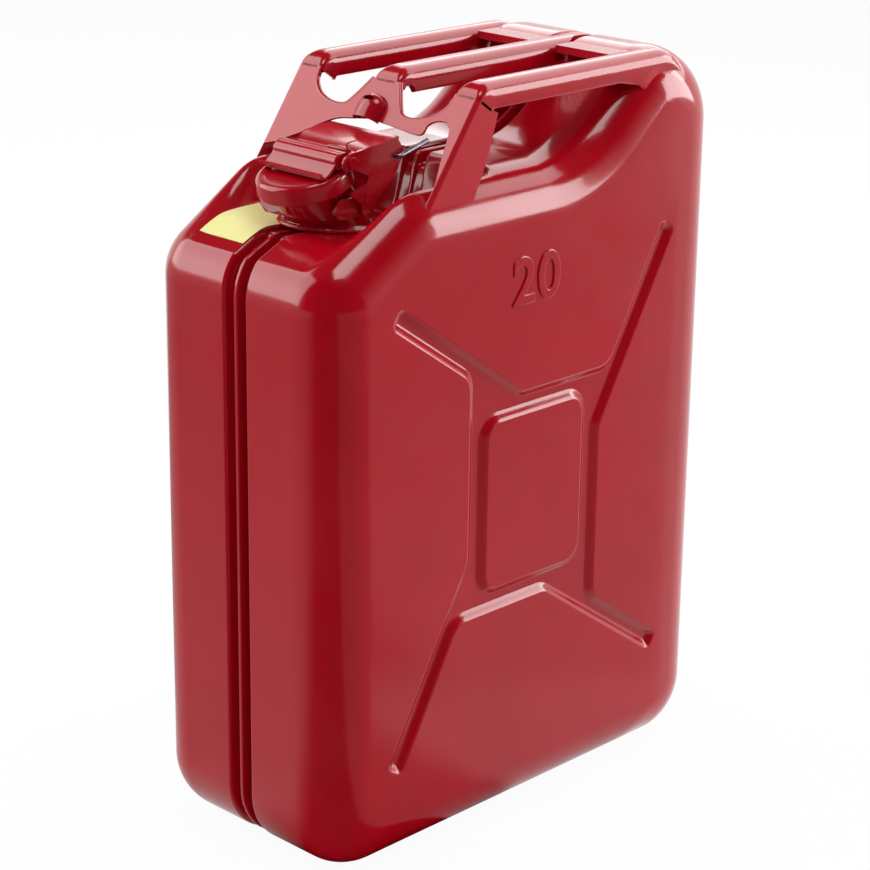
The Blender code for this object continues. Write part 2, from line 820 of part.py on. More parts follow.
# Cam lever: two cheeks joined by a web that runs forward into a ridge and a thumb lip.
# Its outlines are shares of the lever reach, measured from the pivot.
lever_reach = 0.030
nose_half = 0.0265
nose_root = -0.0085
return_inner = 0.021
cheek_shares = [(0.817, 1.117), (-0.483, 0.977), (-0.677, 0.857), (-0.617, 0.657),
                (-0.330, 0.653), (0.047, 0.473), (-0.007, 0.343), (-0.473, 0.170),
                (-0.313, 0.057), (-0.140, -0.073), (-0.127, -0.310), (0.030, -0.297),
                (0.190, -0.067), (0.450, 0.133), (0.683, 0.300), (0.850, 0.517),
                (0.923, 0.750), (0.917, 0.983)]
cheek_radius_shares = [0.10, 0.13, 0.13, 0.07, 0.04, 0.03, 0.03, 0.04, 0.05, 0.06, 0.08,
                       0.08, 0.15, 0.2, 0.2, 0.2, 0.15, 0.1]
web_shares = [(0.883, 1.133), (0.083, 1.033), (-0.090, 0.955), (-0.183, 0.930),
              (-0.290, 0.945), (-0.370, 0.975), (-0.450, 1.000), (-0.540, 0.988),
              (-0.617, 0.945), (-0.700, 0.870), (-0.783, 0.760), (-0.900, 0.655),
              (-1.000, 0.585), (-1.055, 0.590), (-1.100, 0.667)]
return_shares = [(0.440, 0.157), (0.673, 0.327), (0.837, 0.527), (0.907, 0.750), (0.903, 0.983)]


def lever_line(shares):
    return [lever_pivot.xz + Vector(share) * lever_reach for share in shares]


def bent_sheet(line, thickness):
    """A bent sheet seen from the side: the line, and a copy one thickness to its left."""
    below = []
    for index, point in enumerate(line):
        before = line[max(index - 1, 0)]
        after = line[min(index + 1, len(line) - 1)]
        run = (after - before).normalized()
        below.append(point + Vector((-run.y, run.x)) * thickness)
    return line + below[::-1]


web_half = cheek_outer - lever_sheet / 2
web_outline = bent_sheet(lever_line(web_shares), lever_sheet)
lever = piece("cam_lever", prism(web_outline, -web_half, web_half, "cam_lever"))
slit_front = lever_pivot.x - lever_reach - lever_reach
slit_rear = lever_pivot.x + nose_root
slit_outline = [(slit_front, lever_pivot.z), (slit_rear, lever_pivot.z),
                (slit_rear, handle_height), (slit_front, handle_height)]
for side_name, side in (("near", -1), ("far", 1)):
    low, high = sorted((side * nose_half, side * (nose_half + cut_overrun)))
    slit_mesh = prism(slit_outline, low, high, "lever_slit_" + side_name)
    cut(lever, guide("lever_slit_" + side_name, slit_mesh))
cheek_radii = [share * lever_reach for share in cheek_radius_shares]
cheek_outline = filleted(lever_line(cheek_shares), cheek_radii, 2)
for side_name, side in (("near", -1), ("far", 1)):
    low, high = sorted((side * cheek_inner, side * cheek_outer))
    cheek_mesh = prism(cheek_outline, low, high, "cheek_" + side_name)
    join(lever, guide("cheek_" + side_name, cheek_mesh))
    low, high = sorted((side * return_inner, side * web_half))
    flange = bent_sheet(lever_line(return_shares), lever_sheet)
    flange_mesh = prism(flange, low, high, "lever_return_" + side_name)
    join(lever, guide("lever_return_" + side_name, flange_mesh))
rivet_radius = 0.0020
pin_radius = 0.0015
lever_holes = (("pivot", lever_pivot, stud_radius), ("rivet", rivet_axis, rivet_radius),
               ("pin", pin_axis, pin_radius))
for hole_name, place, radius in lever_holes:
    reach = Vector((0, cheek_outer + cut_overrun, 0))
    cut(lever, guide("lever_hole_" + hole_name,
                     rod(place - reach, place + reach, radius + running_gap, "lever_hole_" + hole_name)))
smooth(lever)
lever_holder = empty("lever_axis", lever_pivot)
carry(lever_holder, lever)

# Cross rivet through the cheeks and the cap bracket
rivet_head_radius = 0.0032
rivet_head_height = 0.0012
head_seat = cheek_outer + seat_gap
head_end = head_seat + rivet_head_height

shaft_reach = Vector((0, head_end - seat_gap, 0))
shaft = rod(rivet_axis - shaft_reach, rivet_axis + shaft_reach, rivet_radius, "cross_rivet")
rivet = piece("cross_rivet", shaft)
for side_name, side in (("near", -1), ("far", 1)):
    head_inside = rivet_axis + Vector((0, side * head_seat, 0))
    head_outside = rivet_axis + Vector((0, side * head_end, 0))
    head = rod(head_inside, head_outside, rivet_head_radius, "rivet_head_" + side_name)
    join(rivet, guide("rivet_head_" + side_name, head))
smooth(rivet)
carry(lever_holder, rivet)

# Locking pin: a straight shank through both cheeks, with a leg bent back outside the near one
leg_gap = 0.0015
leg_length = 0.0248
leg_rise = math.radians(14.5)
shank_end = 0.002

leg_y = -(cheek_outer + leg_gap + pin_radius)
leg_run = Vector((math.cos(leg_rise), 0, math.sin(leg_rise))) * leg_length
pin_corner = pin_axis + Vector((0, leg_y, 0))
pin_start = pin_axis + Vector((0, cheek_outer + shank_end, 0))
pin_end = pin_corner + leg_run
pin_points = [pin_start, *bend(pin_start, pin_corner, pin_end, pin_radius + pin_radius / 2), pin_end]
pin_mesh = tube("locking_pin", pin_points, pin_radius)
locking_pin = piece("locking_pin", pin_mesh, zinc_grey, 0.35, 1.0)
smooth(locking_pin)
carry(lever_holder, locking_pin)

# Cap, its gasket and its bracket, turned about their own axis and then tilted into place
cap_steps = 40
cap_edge = 0.0020
cap_rim_rise = 0.0007
cap_rim_inner = 0.0225
gasket_inner = 0.020
gasket_side_gap = 0.0008

cap_holder = empty("cap_axis", rivet_axis)
carry(lever_holder, cap_holder)


def turned(name, profile, closed, colour, roughness):
    """A profile of radius and height, turned about the cap axis."""
    mesh = bpy.data.meshes.new(name)
    links = [(index, index + 1) for index in range(len(profile) - 1)]
    if closed:
        links.append((len(profile) - 1, 0))
    mesh.from_pydata([(radius, 0, height) for radius, height in profile], links, [])
    obj = piece(name, mesh, colour, roughness)
    screw = obj.modifiers.new("turn", "SCREW")
    screw.steps = cap_steps
    screw.render_steps = cap_steps
    screw.use_merge_vertices = True
    screw.merge_threshold = running_gap / 10
    screw.use_smooth_shade = True
    obj.matrix_world = cap_frame
    carry(cap_holder, obj)
    return obj


cap_shoulder = cap_radius - cap_edge / 4
cap_profile = [(0, 0), (cap_rim_inner - cap_edge, 0), (cap_rim_inner, cap_rim_rise),
               (cap_radius - cap_edge, cap_rim_rise), (cap_shoulder, cap_rim_rise - cap_edge / 4),
               (cap_radius, -cap_edge), (cap_rim_radius, -cap_height),
               (cap_rim_radius - cap_sheet, -cap_height), (cap_radius - cap_sheet, -cap_edge),
               (cap_shoulder - cap_sheet, -cap_sheet), (0, -cap_sheet)]
turned("cap_disc", cap_profile, False, enamel_red, 0.22)
gasket_outer = cap_shoulder - cap_sheet - gasket_side_gap
gasket_top = -cap_sheet - seat_gap
gasket_low = gasket_top - gasket_thickness
gasket_profile = [(gasket_inner, gasket_top), (gasket_outer, gasket_top),
                  (gasket_outer, gasket_low), (gasket_inner, gasket_low)]
turned("cap_gasket", gasket_profile, True, seal_black, 0.7)

# Cap bracket: a strap on the disc with two ears that the rivet passes through
strap_front = 0.0060
strap_rear = 0.0200
strap_sheet = 0.0014
ear_inner = 0.0200
ear_outer = 0.0220
ear_radius = 0.0029
ear_steps = 8

rivet_local = cap_frame.inverted() @ rivet_axis
strap_low = cap_rim_rise + seat_gap
strap_high = strap_low + strap_sheet
strap_outline = [(strap_front, strap_low), (strap_rear, strap_low),
                 (strap_rear, strap_high), (strap_front, strap_high)]
ear_outline = [(rivet_local.x - ear_radius, strap_low), (rivet_local.x + ear_radius, strap_low)]
for step in range(ear_steps + 1):
    angle = math.pi * step / ear_steps
    ear_outline.append((rivet_local.x + ear_radius * math.cos(angle),
                        rivet_local.z + ear_radius * math.sin(angle)))
strap_mesh = prism(strap_outline, -ear_outer, ear_outer, "cap_bracket", cap_frame)
cap_bracket = piece("cap_bracket", strap_mesh)
for side_name, side in (("near", -1), ("far", 1)):
    low, high = sorted((side * ear_inner, side * ear_outer))
    ear_mesh = prism(ear_outline, low, high, "cap_ear_" + side_name, cap_frame)
    join(cap_bracket, guide("cap_ear_" + side_name, ear_mesh))
bore_reach = Vector((0, cheek_inner, 0))
bracket_bore = rod(rivet_axis - bore_reach, rivet_axis + bore_reach,
                   rivet_radius + running_gap, "cap_bracket_bore")
cut(cap_bracket, guide("cap_bracket_bore", bracket_bore))
carry(cap_holder, cap_bracket)

# Blank label on the far half of the front slope, cut round the foot of the neck
label_front = -0.155
label_rear = -0.108
label_inner = 0.011
label_thickness = 0.0003
label_steps = 10
label_gap = 0.0015

label_rings = []
for y in (label_inner, well_flat_half, edge_start):
    face = []
    back = []
    for step in range(label_steps + 1):
        x = label_front + (label_rear - label_front) * step / label_steps
        slope = front_corner_height + (x + half_length) * math.tan(shoulder_angle)
        z = slope - well_drop(x, slope, y) + seat_gap
        back.append((x, y, z))
        face.append((x, y, z + label_thickness))
    label_rings.append(face + back[::-1])
shoulder_label = piece("shoulder_label", loft(label_rings, "shoulder_label"), label_yellow, 0.5)
label_rings = [neck_ring(0, foot_flange + label_gap, lift) for lift in (-cut_overrun, cut_overrun)]
cut(shoulder_label, guide("label_notch", loft(label_rings, "label_notch")))
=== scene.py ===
import math

import bmesh
import bpy
from mathutils import Matrix, Vector


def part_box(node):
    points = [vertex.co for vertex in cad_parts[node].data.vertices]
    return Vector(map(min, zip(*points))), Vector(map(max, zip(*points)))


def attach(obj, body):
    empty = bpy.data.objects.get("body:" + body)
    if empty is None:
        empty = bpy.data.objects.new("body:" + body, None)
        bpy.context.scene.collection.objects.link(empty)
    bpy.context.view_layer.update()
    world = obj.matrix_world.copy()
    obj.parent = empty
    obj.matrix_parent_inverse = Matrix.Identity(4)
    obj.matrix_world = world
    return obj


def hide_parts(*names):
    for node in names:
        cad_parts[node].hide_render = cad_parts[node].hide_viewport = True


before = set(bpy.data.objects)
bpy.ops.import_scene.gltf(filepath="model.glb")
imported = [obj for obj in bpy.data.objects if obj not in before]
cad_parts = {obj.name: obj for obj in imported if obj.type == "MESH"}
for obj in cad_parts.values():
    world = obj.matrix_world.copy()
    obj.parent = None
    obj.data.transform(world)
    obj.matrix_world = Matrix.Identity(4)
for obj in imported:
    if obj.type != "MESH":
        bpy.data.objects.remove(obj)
bpy.ops.object.select_all(action="DESELECT")
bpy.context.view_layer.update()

# Body halves
# Two trays drawn from 1 mm steel sheet, mirror images of each other, with a rounded edge all round
# and a raised pad in a pressed cross. Their flanges meet in the seam channel. The welded can is dipped
# and baked in red enamel, thick enough to hide the grain. Its turned edges get a painted highlight.
halves_low, halves_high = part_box("body_half_near")
half_length = halves_high.x
half_width = -halves_low.y
hump_height = halves_high.z
top_height = 0.422
front_corner_height = 0.3756
shoulder_angle = math.radians(33)
hump_front = 0.1045
hump_angle = math.radians(41)
corner_radii = [0.042, 0.042, 0.050, 0.036, 0.080, 0.045, 0.036]
arc_step = 0.0022
body_sheet = 0.001
seat_gap = 0.0003
edge_radius = 0.033
edge_start = half_width - edge_radius
edge_turns = [3 * step for step in range(12)] + [36 + 6 * step for step in range(10)]
channel_half = 0.009
channel_depth = 0.009
channel_lip = 0.0024
lip_turns = (0, 22.5, 45, 67.5, 90)
flange_drop = 0.0015
neck_foot_x = -0.097
well_floor = 0.3879
well_fall = math.radians(6.14)
well_low = 0.383
well_front_angle = math.radians(27)
well_round = 0.004
well_flat_half = 0.044
well_edge_half = 0.066
well_rear_foot = -0.036
well_rear_top = -0.022
well_channel_share = 1 / 3
well_channel_start = -0.150
well_channel_full = -0.138
fine_run = (-0.160, -0.014)
fine_step = 0.0025

shoulder_top = -half_length + (top_height - front_corner_height) / math.tan(shoulder_angle)
hump_foot = hump_front - (hump_height - top_height) / math.tan(hump_angle)


def smooth_step(value, start, end):
    """Smooth step from 0 at start to 1 at end."""
    share = min(max((value - start) / (end - start), 0), 1)
    return share * share * (3 - 2 * share)


def well_height(x):
    """Height of the pressed well along the middle of the can."""
    front = front_corner_height + (x + half_length) * math.tan(well_front_angle)
    floor = max(well_floor - (x - neck_foot_x) * math.tan(well_fall), well_low)
    return (front + floor - math.hypot(front - floor, well_round)) / 2


def well_drop(x, z, y):
    """How far the well lowers a point of the top outline at a distance y from the seam."""
    depth = max(z - well_height(x), 0) * (1 - smooth_step(x, well_rear_foot, well_rear_top))
    return depth * (1 - smooth_step(abs(y), well_flat_half, well_edge_half))


def channel_share(x):
    """The seam channel is pressed shallow where the neck is welded on."""
    inside = smooth_step(x, well_channel_start, well_channel_full)
    inside -= smooth_step(x, well_rear_foot, well_rear_top)
    return 1 - (1 - well_channel_share) * inside


def body_outline():
    """Points and outward normals round the side outline, counterclockwise from the base."""
    corners = [(-half_length, 0), (half_length, 0), (half_length, hump_height),
               (hump_front, hump_height), (hump_foot, top_height), (shoulder_top, top_height),
               (-half_length, front_corner_height)]
    fine_count = round((fine_run[1] - fine_run[0]) / fine_step)
    fine = [fine_run[1] - fine_step * index for index in range(fine_count + 1)]
    stations = []
    count = len(corners)
    for index in range(count):
        corner = Vector(corners[index])
        back = (corner - Vector(corners[index - 1])).normalized()
        ahead = (Vector(corners[(index + 1) % count]) - corner).normalized()
        turn = math.atan2(back.x * ahead.y - back.y * ahead.x, back.dot(ahead))
        radius = corner_radii[index]
        outward = Vector((back.y, -back.x))
        middle = corner - back * radius * math.tan(abs(turn) / 2)
        middle -= outward * math.copysign(radius, turn)
        steps = math.ceil(abs(turn) * radius / arc_step)
        arc = []
        for step in range(steps + 1):
            normal = Matrix.Rotation(turn * step / steps, 2) @ outward
            arc.append((middle + normal * math.copysign(radius, turn), normal))
        if stations:
            start, normal = stations[-1]
            end = arc[0][0]
            for x in fine:
                if end.x + fine_step / 2 < x < start.x - fine_step / 2 and normal.y > 0:
                    stations.append((start.lerp(end, (start.x - x) / (start.x - end.x)), normal))
        stations.extend(arc)
    return stations


def tray_point(station, y, depth):
    """A point of the tray: depth inside the outline, at a distance y from the seam."""
    place, normal = station
    drop = well_drop(place.x, place.y, y) if normal.y > 0 else 0
    return (place.x - normal.x * depth, place.y - normal.y * depth - drop)


def edge_section():
    """The rounded edge of a half, from the top of the tray down to its wide face."""
    points = []
    for turn in edge_turns:
        angle = math.radians(turn)
        points.append((edge_start + edge_radius * math.sin(angle), edge_radius * (1 - math.cos(angle))))
    return points


# The pressed cross: its outline, the pad that stands in it and the soft wall between the levels
cross_height = 0.2155
cross_reach_x = 0.128
cross_reach_z = 0.156
pad_half_x = 0.042
pad_half_z = 0.053
pad_radius = 0.010
frame_half_x = pad_half_x + 0.018
frame_half_z = pad_half_z + 0.017
cross_depth = 0.0038
cross_wall = 0.0068
wall_steps = 10
arm_tip_radius = 0.006
arm_root_radius = 0.012
fillet_steps = 8
steep_tip_shares = [(0.922, 0.923), (0.992, 0.840)]
shallow_tip_shares = [(1.0, 0.949), (0.891, 1.0)]
upper_root_share = 0.545
lower_root_share = 0.192
inner_root_share = 0.09


def filleted(corners, radii, steps):
    """A closed outline with each corner replaced by an arc of steps + 1 points."""
    outline = []
    count = len(corners)
    for index, radius in enumerate(radii):
        corner = Vector(corners[index])
        back = (Vector(corners[index - 1]) - corner).normalized()
        ahead = (Vector(corners[(index + 1) % count]) - corner).normalized()
        half_angle = back.angle(ahead) / 2
        middle = corner + (back + ahead).normalized() * radius / math.sin(half_angle)
        first = corner + back * radius / math.tan(half_angle) - middle
        last = corner + ahead * radius / math.tan(half_angle) - middle
        turn = math.atan2(first.x * last.y - first.y * last.x, first.dot(last))
        for step in range(steps + 1):
            outline.append(middle + Matrix.Rotation(turn * step / steps, 2) @ first)
    return outline


def inset(corners, distance):
    """Move each side of a closed counterclockwise outline inwards."""
    moved = []
    count = len(corners)
    for index in range(count):
        corner = Vector(corners[index])
        first = (corner - Vector(corners[index - 1])).normalized()
        second = (Vector(corners[(index + 1) % count]) - corner).normalized()
        first_in = Vector((-first.y, first.x))
        second_in = Vector((-second.y, second.x))
        moved.append(corner + (first_in + second_in) * distance / (1 + first_in.dot(second_in)))
    return moved


def cross_outline(distance):
    """The outline of the cross, moved inwards; its tips grow sharper and its roots rounder."""
    half = [(-steep_tip_shares[1][0] * cross_reach_x, steep_tip_shares[1][1] * cross_reach_z),
            (-frame_half_x, upper_root_share * cross_reach_z),
            (-frame_half_x, -lower_root_share * cross_reach_z),
            (-shallow_tip_shares[0][0] * cross_reach_x, -shallow_tip_shares[0][1] * cross_reach_z),
            (-shallow_tip_shares[1][0] * cross_reach_x, -shallow_tip_shares[1][1] * cross_reach_z),
            (-(frame_half_x + cross_wall), -frame_half_z),
            (inner_root_share * cross_reach_x, -frame_half_z),
            (steep_tip_shares[0][0] * cross_reach_x, -steep_tip_shares[0][1] * cross_reach_z)]
    corners = half + [(-x, -z) for x, z in half]
    tip = max(arm_tip_radius - distance, body_sheet)
    root = arm_root_radius + distance
    radii = [tip, root, root, tip, tip, root, root, tip]
    rounded = filleted(inset(corners, distance), radii + radii, fillet_steps)
    return [(x, z + cross_height) for x, z in rounded]


def pad_outline(grow):
    corners = [(-pad_half_x - grow, -pad_half_z - grow), (pad_half_x + grow, -pad_half_z - grow),
               (pad_half_x + grow, pad_half_z + grow), (-pad_half_x - grow, pad_half_z + grow)]
    rounded = filleted(corners, [pad_radius + grow] * len(corners), fillet_steps)
    return [(x, z + cross_height) for x, z in rounded]


def mesh_of(bm, name):
    """The mesh of a finished bmesh, with its normals outward."""
    bmesh.ops.recalc_face_normals(bm, faces=bm.faces)
    mesh = bpy.data.meshes.new(name)
    bm.to_mesh(mesh)
    bm.free()
    return mesh


def bridge(bm, first, second, closed=True):
    """Quads between two rows of vertices."""
    for index in range(len(first) if closed else len(first) - 1):
        following = (index + 1) % len(first)
        bm.faces.new((first[index], first[following], second[following], second[index]))


def pressed_half(name, side):
    """One tray as an open surface: flange, seam channel, rounded edge, and the face with its cross."""
    bm = bmesh.new()
    flange_half = seat_gap / 2 + body_sheet
    rows = []
    for station in body_outline():
        depth = channel_depth * channel_share(station[0].x)
        section = [(flange_half, flange_drop), (flange_half, depth - body_sheet / 2),
                   (flange_half + body_sheet / 2, depth), (channel_half - body_sheet, depth)]
        for turn in lip_turns:
            angle = math.radians(turn)
            section.append((channel_half + channel_lip * (1 - math.cos(angle)),
                            channel_lip * (1 - math.sin(angle))))
        section += [(edge_start / 2, 0), (well_flat_half, 0), *edge_section()]
        row = []
        for y, inward in section:
            x, z = tray_point(station, y, inward)
            row.append(bm.verts.new((x, side * y, z)))
        rows.append(row)
    for row, following in zip(rows, rows[1:] + rows[:1]):
        bridge(bm, row, following, closed=False)

    def ring(points, depth):
        return [bm.verts.new((x, side * (half_width - depth), z)) for x, z in points]

    def edges(verts):
        found = []
        for first, second in zip(verts, verts[1:] + verts[:1]):
            found.append(bm.edges.get((first, second)) or bm.edges.new((first, second)))
        return found

    rim = [row[-1] for row in rows]
    shares = [step / wall_steps for step in range(wall_steps + 1)]
    levels_down = [(cross_wall * share, cross_depth * smooth_step(share, 0, 1)) for share in shares]
    cross_loops = [ring(cross_outline(reach), depth) for reach, depth in levels_down]
    pad_loops = [ring(pad_outline(reach), depth) for reach, depth in levels_down]
    for loops in (cross_loops, pad_loops):
        for outer, inner in zip(loops, loops[1:]):
            bridge(bm, outer, inner)
    for loops in ((rim, cross_loops[0]), (cross_loops[-1], pad_loops[-1]), (pad_loops[0],)):
        border = [edge for loop in loops for edge in edges(loop)]
        bmesh.ops.triangle_fill(bm, edges=border, use_beauty=True)
    mesh = mesh_of(bm, name)
    wide = max(mesh.polygons, key=lambda face: face.center.y * side)
    if wide.normal.y * side < 0:
        mesh.flip_normals()
    return mesh


def noise(tree, source, scale, detail, roughness=0.5):
    """A noise pattern read from a coordinate socket, with features 1 / scale of a metre wide."""
    node = tree.nodes.new("ShaderNodeTexNoise")
    node.inputs["Scale"].default_value = scale
    node.inputs["Detail"].default_value = detail
    node.inputs["Roughness"].default_value = roughness
    tree.links.new(source, node.inputs["Vector"])
    return node.outputs["Fac"]


def grey(value):
    return (value, value, value, 1)


def levels(tree, value, stops):
    """A ramp of greys over a value; stops are pairs of place and level."""
    node = tree.nodes.new("ShaderNodeValToRGB")
    elements = node.color_ramp.elements
    for index, (place, level) in enumerate(stops):
        element = elements[index] if index < 2 else elements.new(place)
        element.position = place
        element.color = grey(level)
    tree.links.new(value, node.inputs["Fac"])
    return node.outputs["Color"]


def blended(tree, share, first, second):
    """A mix of two colours, each a socket or a plain colour."""
    node = tree.nodes.new("ShaderNodeMix")
    node.data_type = "RGBA"
    tree.links.new(share, node.inputs["Factor"])
    for socket, colour in ((node.inputs["A"], first), (node.inputs["B"], second)):
        if isinstance(colour, tuple):
            socket.default_value = colour
        else:
            tree.links.new(colour, socket)
    return node.outputs["Result"]


def bumped(tree, height, strength, distance, under=None):
    """A bump from a height pattern, laid over an earlier one if there is one."""
    node = tree.nodes.new("ShaderNodeBump")
    node.inputs["Strength"].default_value = strength
    node.inputs["Distance"].default_value = distance
    tree.links.new(height, node.inputs["Height"])
    if under:
        tree.links.new(under, node.inputs["Normal"])
    return node.outputs["Normal"]


def mottled(name, colours, clouds, cloud_stops, rough, rough_stops, grain, grain_bump):
    """Two colours in clouds, uneven roughness and a fine grain; each noise is its scale and detail."""
    surface = bpy.data.materials.new(name)
    surface.use_nodes = True
    tree = surface.node_tree
    shader = tree.nodes["Principled BSDF"]
    place = tree.nodes.new("ShaderNodeTexCoord").outputs["Object"]
    share = levels(tree, noise(tree, place, *clouds), cloud_stops)
    tree.links.new(blended(tree, share, *colours), shader.inputs["Base Color"])
    tree.links.new(levels(tree, noise(tree, place, *rough), rough_stops), shader.inputs["Roughness"])
    tree.links.new(bumped(tree, noise(tree, place, *grain), *grain_bump), shader.inputs["Normal"])
    return surface


enamel_deep = (0.360, 0.0008, 0.0070, 1)
enamel_full = (0.410, 0.0014, 0.0100, 1)
# The lighter red and its share make a painted highlight along the turned edges
enamel_edge_highlight = (0.470, 0.0120, 0.0220, 1)
edge_highlight_share = 0.8
peel_height = 0.0004
wave_height = 0.004


def red_enamel(name, peel, waviness=0.0):
    """Baked enamel: two close reds, a painted highlight of lighter red on turned edges, an orange peel and
    the waves of drawn sheet.
    """
    surface = mottled(name, (enamel_deep, enamel_full), (11, 3), [(0.3, 0), (0.7, 1)],
                      (26, 5, 0.6), [(0.35, 0.12), (0.75, 0.21)], (620, 2), (peel, peel_height))
    tree = surface.node_tree
    shader = tree.nodes["Principled BSDF"]
    colour = shader.inputs["Base Color"].links[0].from_socket
    # Sharply turned edges, found by pointiness, get the lighter red: a painted highlight along the edges
    turned = tree.nodes.new("ShaderNodeNewGeometry").outputs["Pointiness"]
    edges = levels(tree, turned, [(0.53, 0), (0.62, edge_highlight_share)])
    tree.links.new(blended(tree, edges, colour, enamel_edge_highlight), shader.inputs["Base Color"])
    shader.inputs["IOR"].default_value = 1.46
    shader.inputs["Specular IOR Level"].default_value = 0.58
    shader.inputs["Coat Weight"].default_value = 0.30
    shader.inputs["Coat Roughness"].default_value = 0.04
    if waviness:
        place = tree.nodes.new("ShaderNodeTexCoord").outputs["Object"]
        normal = shader.inputs["Normal"].links[0].from_socket
        waves = bumped(tree, noise(tree, place, 13, 1), waviness, wave_height, normal)
        tree.links.new(waves, shader.inputs["Normal"])
    return surface


body_enamel = red_enamel("body_enamel", 0.10, waviness=0.10)
fitting_enamel = red_enamel("fitting_enamel", 0.16)


def dressed(obj, surface, body, slot, *nodes):
    """A finished piece of the can, riding on its body in place of its plain solids."""
    obj.data.materials.clear()
    obj.data.materials.append(surface)
    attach(obj, body)
    if nodes:
        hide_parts(*nodes)
    return obj


def named_piece(name, mesh, surface, body, slot, *nodes):
    obj = bpy.data.objects.new(name, mesh)
    bpy.context.scene.collection.objects.link(obj)
    return dressed(obj, surface, body, slot, *nodes)


def only(obj):
    """Make this the one selected and active object."""
    bpy.ops.object.select_all(action="DESELECT")
    obj.select_set(True)
    bpy.context.view_layer.objects.active = obj


def apply_all(obj):
    only(obj)
    for modifier in list(obj.modifiers):
        bpy.ops.object.modifier_apply(modifier=modifier.name)


def thickened(obj, thickness, even=True, smooth=False):
    """The sheet's thickness, laid on its inner side."""
    sheet = obj.modifiers.new("sheet", "SOLIDIFY")
    sheet.thickness = thickness
    sheet.offset = -1
    sheet.use_even_offset = even
    sheet.use_quality_normals = smooth
    apply_all(obj)


def oval_tool(name, sides, place):
    """A round bar of radius 1 and length 2, brought to its size and place, to cut holes with."""
    bpy.ops.object.select_all(action="DESELECT")
    bpy.ops.mesh.primitive_cylinder_add(vertices=sides, radius=1, depth=2)
    tool = bpy.context.object
    tool.name = name
    tool.data.transform(place)
    return tool


def cut_away(obj, *tools):
    """Cut each tool out of the piece."""
    for tool in tools:
        difference = obj.modifiers.new("cut", "BOOLEAN")
        difference.operation = "DIFFERENCE"
        difference.object = tool
        difference.solver = "EXACT"
    apply_all(obj)


def finish_shading(obj, angle=40):
    """Smooth shading with sharp sheet edges, and flats that stay flat beside a rounding."""
    only(obj)
    bpy.ops.object.shade_smooth_by_angle(angle=math.radians(angle))
    weighted = obj.modifiers.new("flats", "WEIGHTED_NORMAL")
    weighted.keep_sharp = True
    weighted.weight = 60
    apply_all(obj)


# The hole under the neck is cut through both trays once their sheet has its thickness
hole_half_x = 0.021252
hole_half_y = 0.0196
hole_half_depth = 0.014
hole_lean = math.radians(-33)
neck_hole = oval_tool("neck_hole", 64, Matrix.Translation((neck_foot_x, 0, well_floor))
                      @ Matrix.Rotation(hole_lean, 4, "Y")
                      @ Matrix.Diagonal((hole_half_x, hole_half_y, hole_half_depth, 1)))

for half_name, side in (("near", -1), ("far", 1)):
    tray = named_piece("pressed_half_" + half_name, pressed_half("pressed_half_" + half_name, side),
                       body_enamel, "can", "enamel", "body_half_" + half_name)
    thickened(tray, body_sheet, smooth=True)
    cut_away(tray, neck_hole)
    finish_shading(tray)
bpy.data.objects.remove(neck_hole)

# Seam weld
# A narrow bead of weld runs along the meeting edges of the two flanges, deep in the channel.
# It stops on each side of the filler neck, whose own weld takes over there.
weld_half = 0.00125
weld_rise = 0.0007
weld_sides = 8
weld_stop_front = -0.128
weld_stop_rear = -0.068
bead_swing = 0.00012
bead_pitch = 0.0035


def oval_ring(centre, first, second, sides):
    """Points round an oval, given its two half axes."""
    angles = [math.tau * step / sides for step in range(sides)]
    return [centre + first * math.cos(angle) + second * math.sin(angle) for angle in angles]


weld_rings = []
outline = body_outline()
start = next(index for index, (place, normal) in enumerate(outline)
             if place.x < weld_stop_front and normal.y > 0 and place.y > front_corner_height)
run = 0
before = None
for offset in range(len(outline)):
    place, normal = outline[(start + offset) % len(outline)]
    if weld_stop_front < place.x < weld_stop_rear and normal.y > 0:
        break
    run += (place - before).length if before else 0
    before = place
    x, z = tray_point((place, normal), 0, flange_drop)
    swell = bead_swing * math.sin(math.tau * run / bead_pitch)
    across = Vector((0, weld_half + swell, 0))
    rise = Vector((normal.x, 0, normal.y)) * (weld_rise + swell)
    weld_rings.append(oval_ring(Vector((x, 0, z)), across, rise, weld_sides))


def skinned(name, rings, ends="capped"):
    """A mesh of quads between neighbouring rings of points; its ends are capped, open or joined."""
    bm = bmesh.new()
    made = [[bm.verts.new(point) for point in ring] for ring in rings]
    if ends == "joined":
        made.append(made[0])
    for lower, upper in zip(made, made[1:]):
        bridge(bm, lower, upper)
    if ends == "capped":
        bm.faces.new(made[0])
        bm.faces.new(made[-1])
    return mesh_of(bm, name)


def small_detail(name, rings, body, angle, ends="capped"):
    """A small enamelled piece that is made of rings of points."""
    piece = named_piece(name, skinned(name, rings, ends), fitting_enamel, body, "enamel")
    finish_shading(piece, angle)


small_detail("seam_weld", weld_rings, "can", 40)

# Capacity numerals
# The plain figures 20 are embossed from inside the near tray, so that they stand up a little
# from its face.
numeral_height = 0.041
numeral_place = Vector((-0.0035, -half_width, 0.3545))
numeral_rise = 0.0014
numeral_spacing = 1.08
bpy.ops.object.text_add()
numerals = bpy.context.object
numerals.name = "capacity_numerals"
figures = numerals.data
figures.body = "20"
figures.size = numeral_height
figures.space_character = numeral_spacing
figures.extrude = numeral_rise / 4
figures.bevel_depth = numeral_rise / 2
figures.bevel_resolution = 3
figures.offset = numeral_rise / 4
only(numerals)
bpy.ops.object.convert(target="MESH")
numerals = bpy.context.object
corners = [Vector(corner) for corner in numerals.bound_box]
middle = (corners[0] + corners[6]) / 2
numerals.data.transform(Matrix.Translation(numeral_place) @ Matrix.Rotation(math.pi / 2, 4, "X")
                        @ Matrix.Translation(-middle))
dressed(numerals, body_enamel, "can", "enamel")
only(numerals)
bpy.ops.object.shade_smooth_by_angle(angle=math.radians(50))

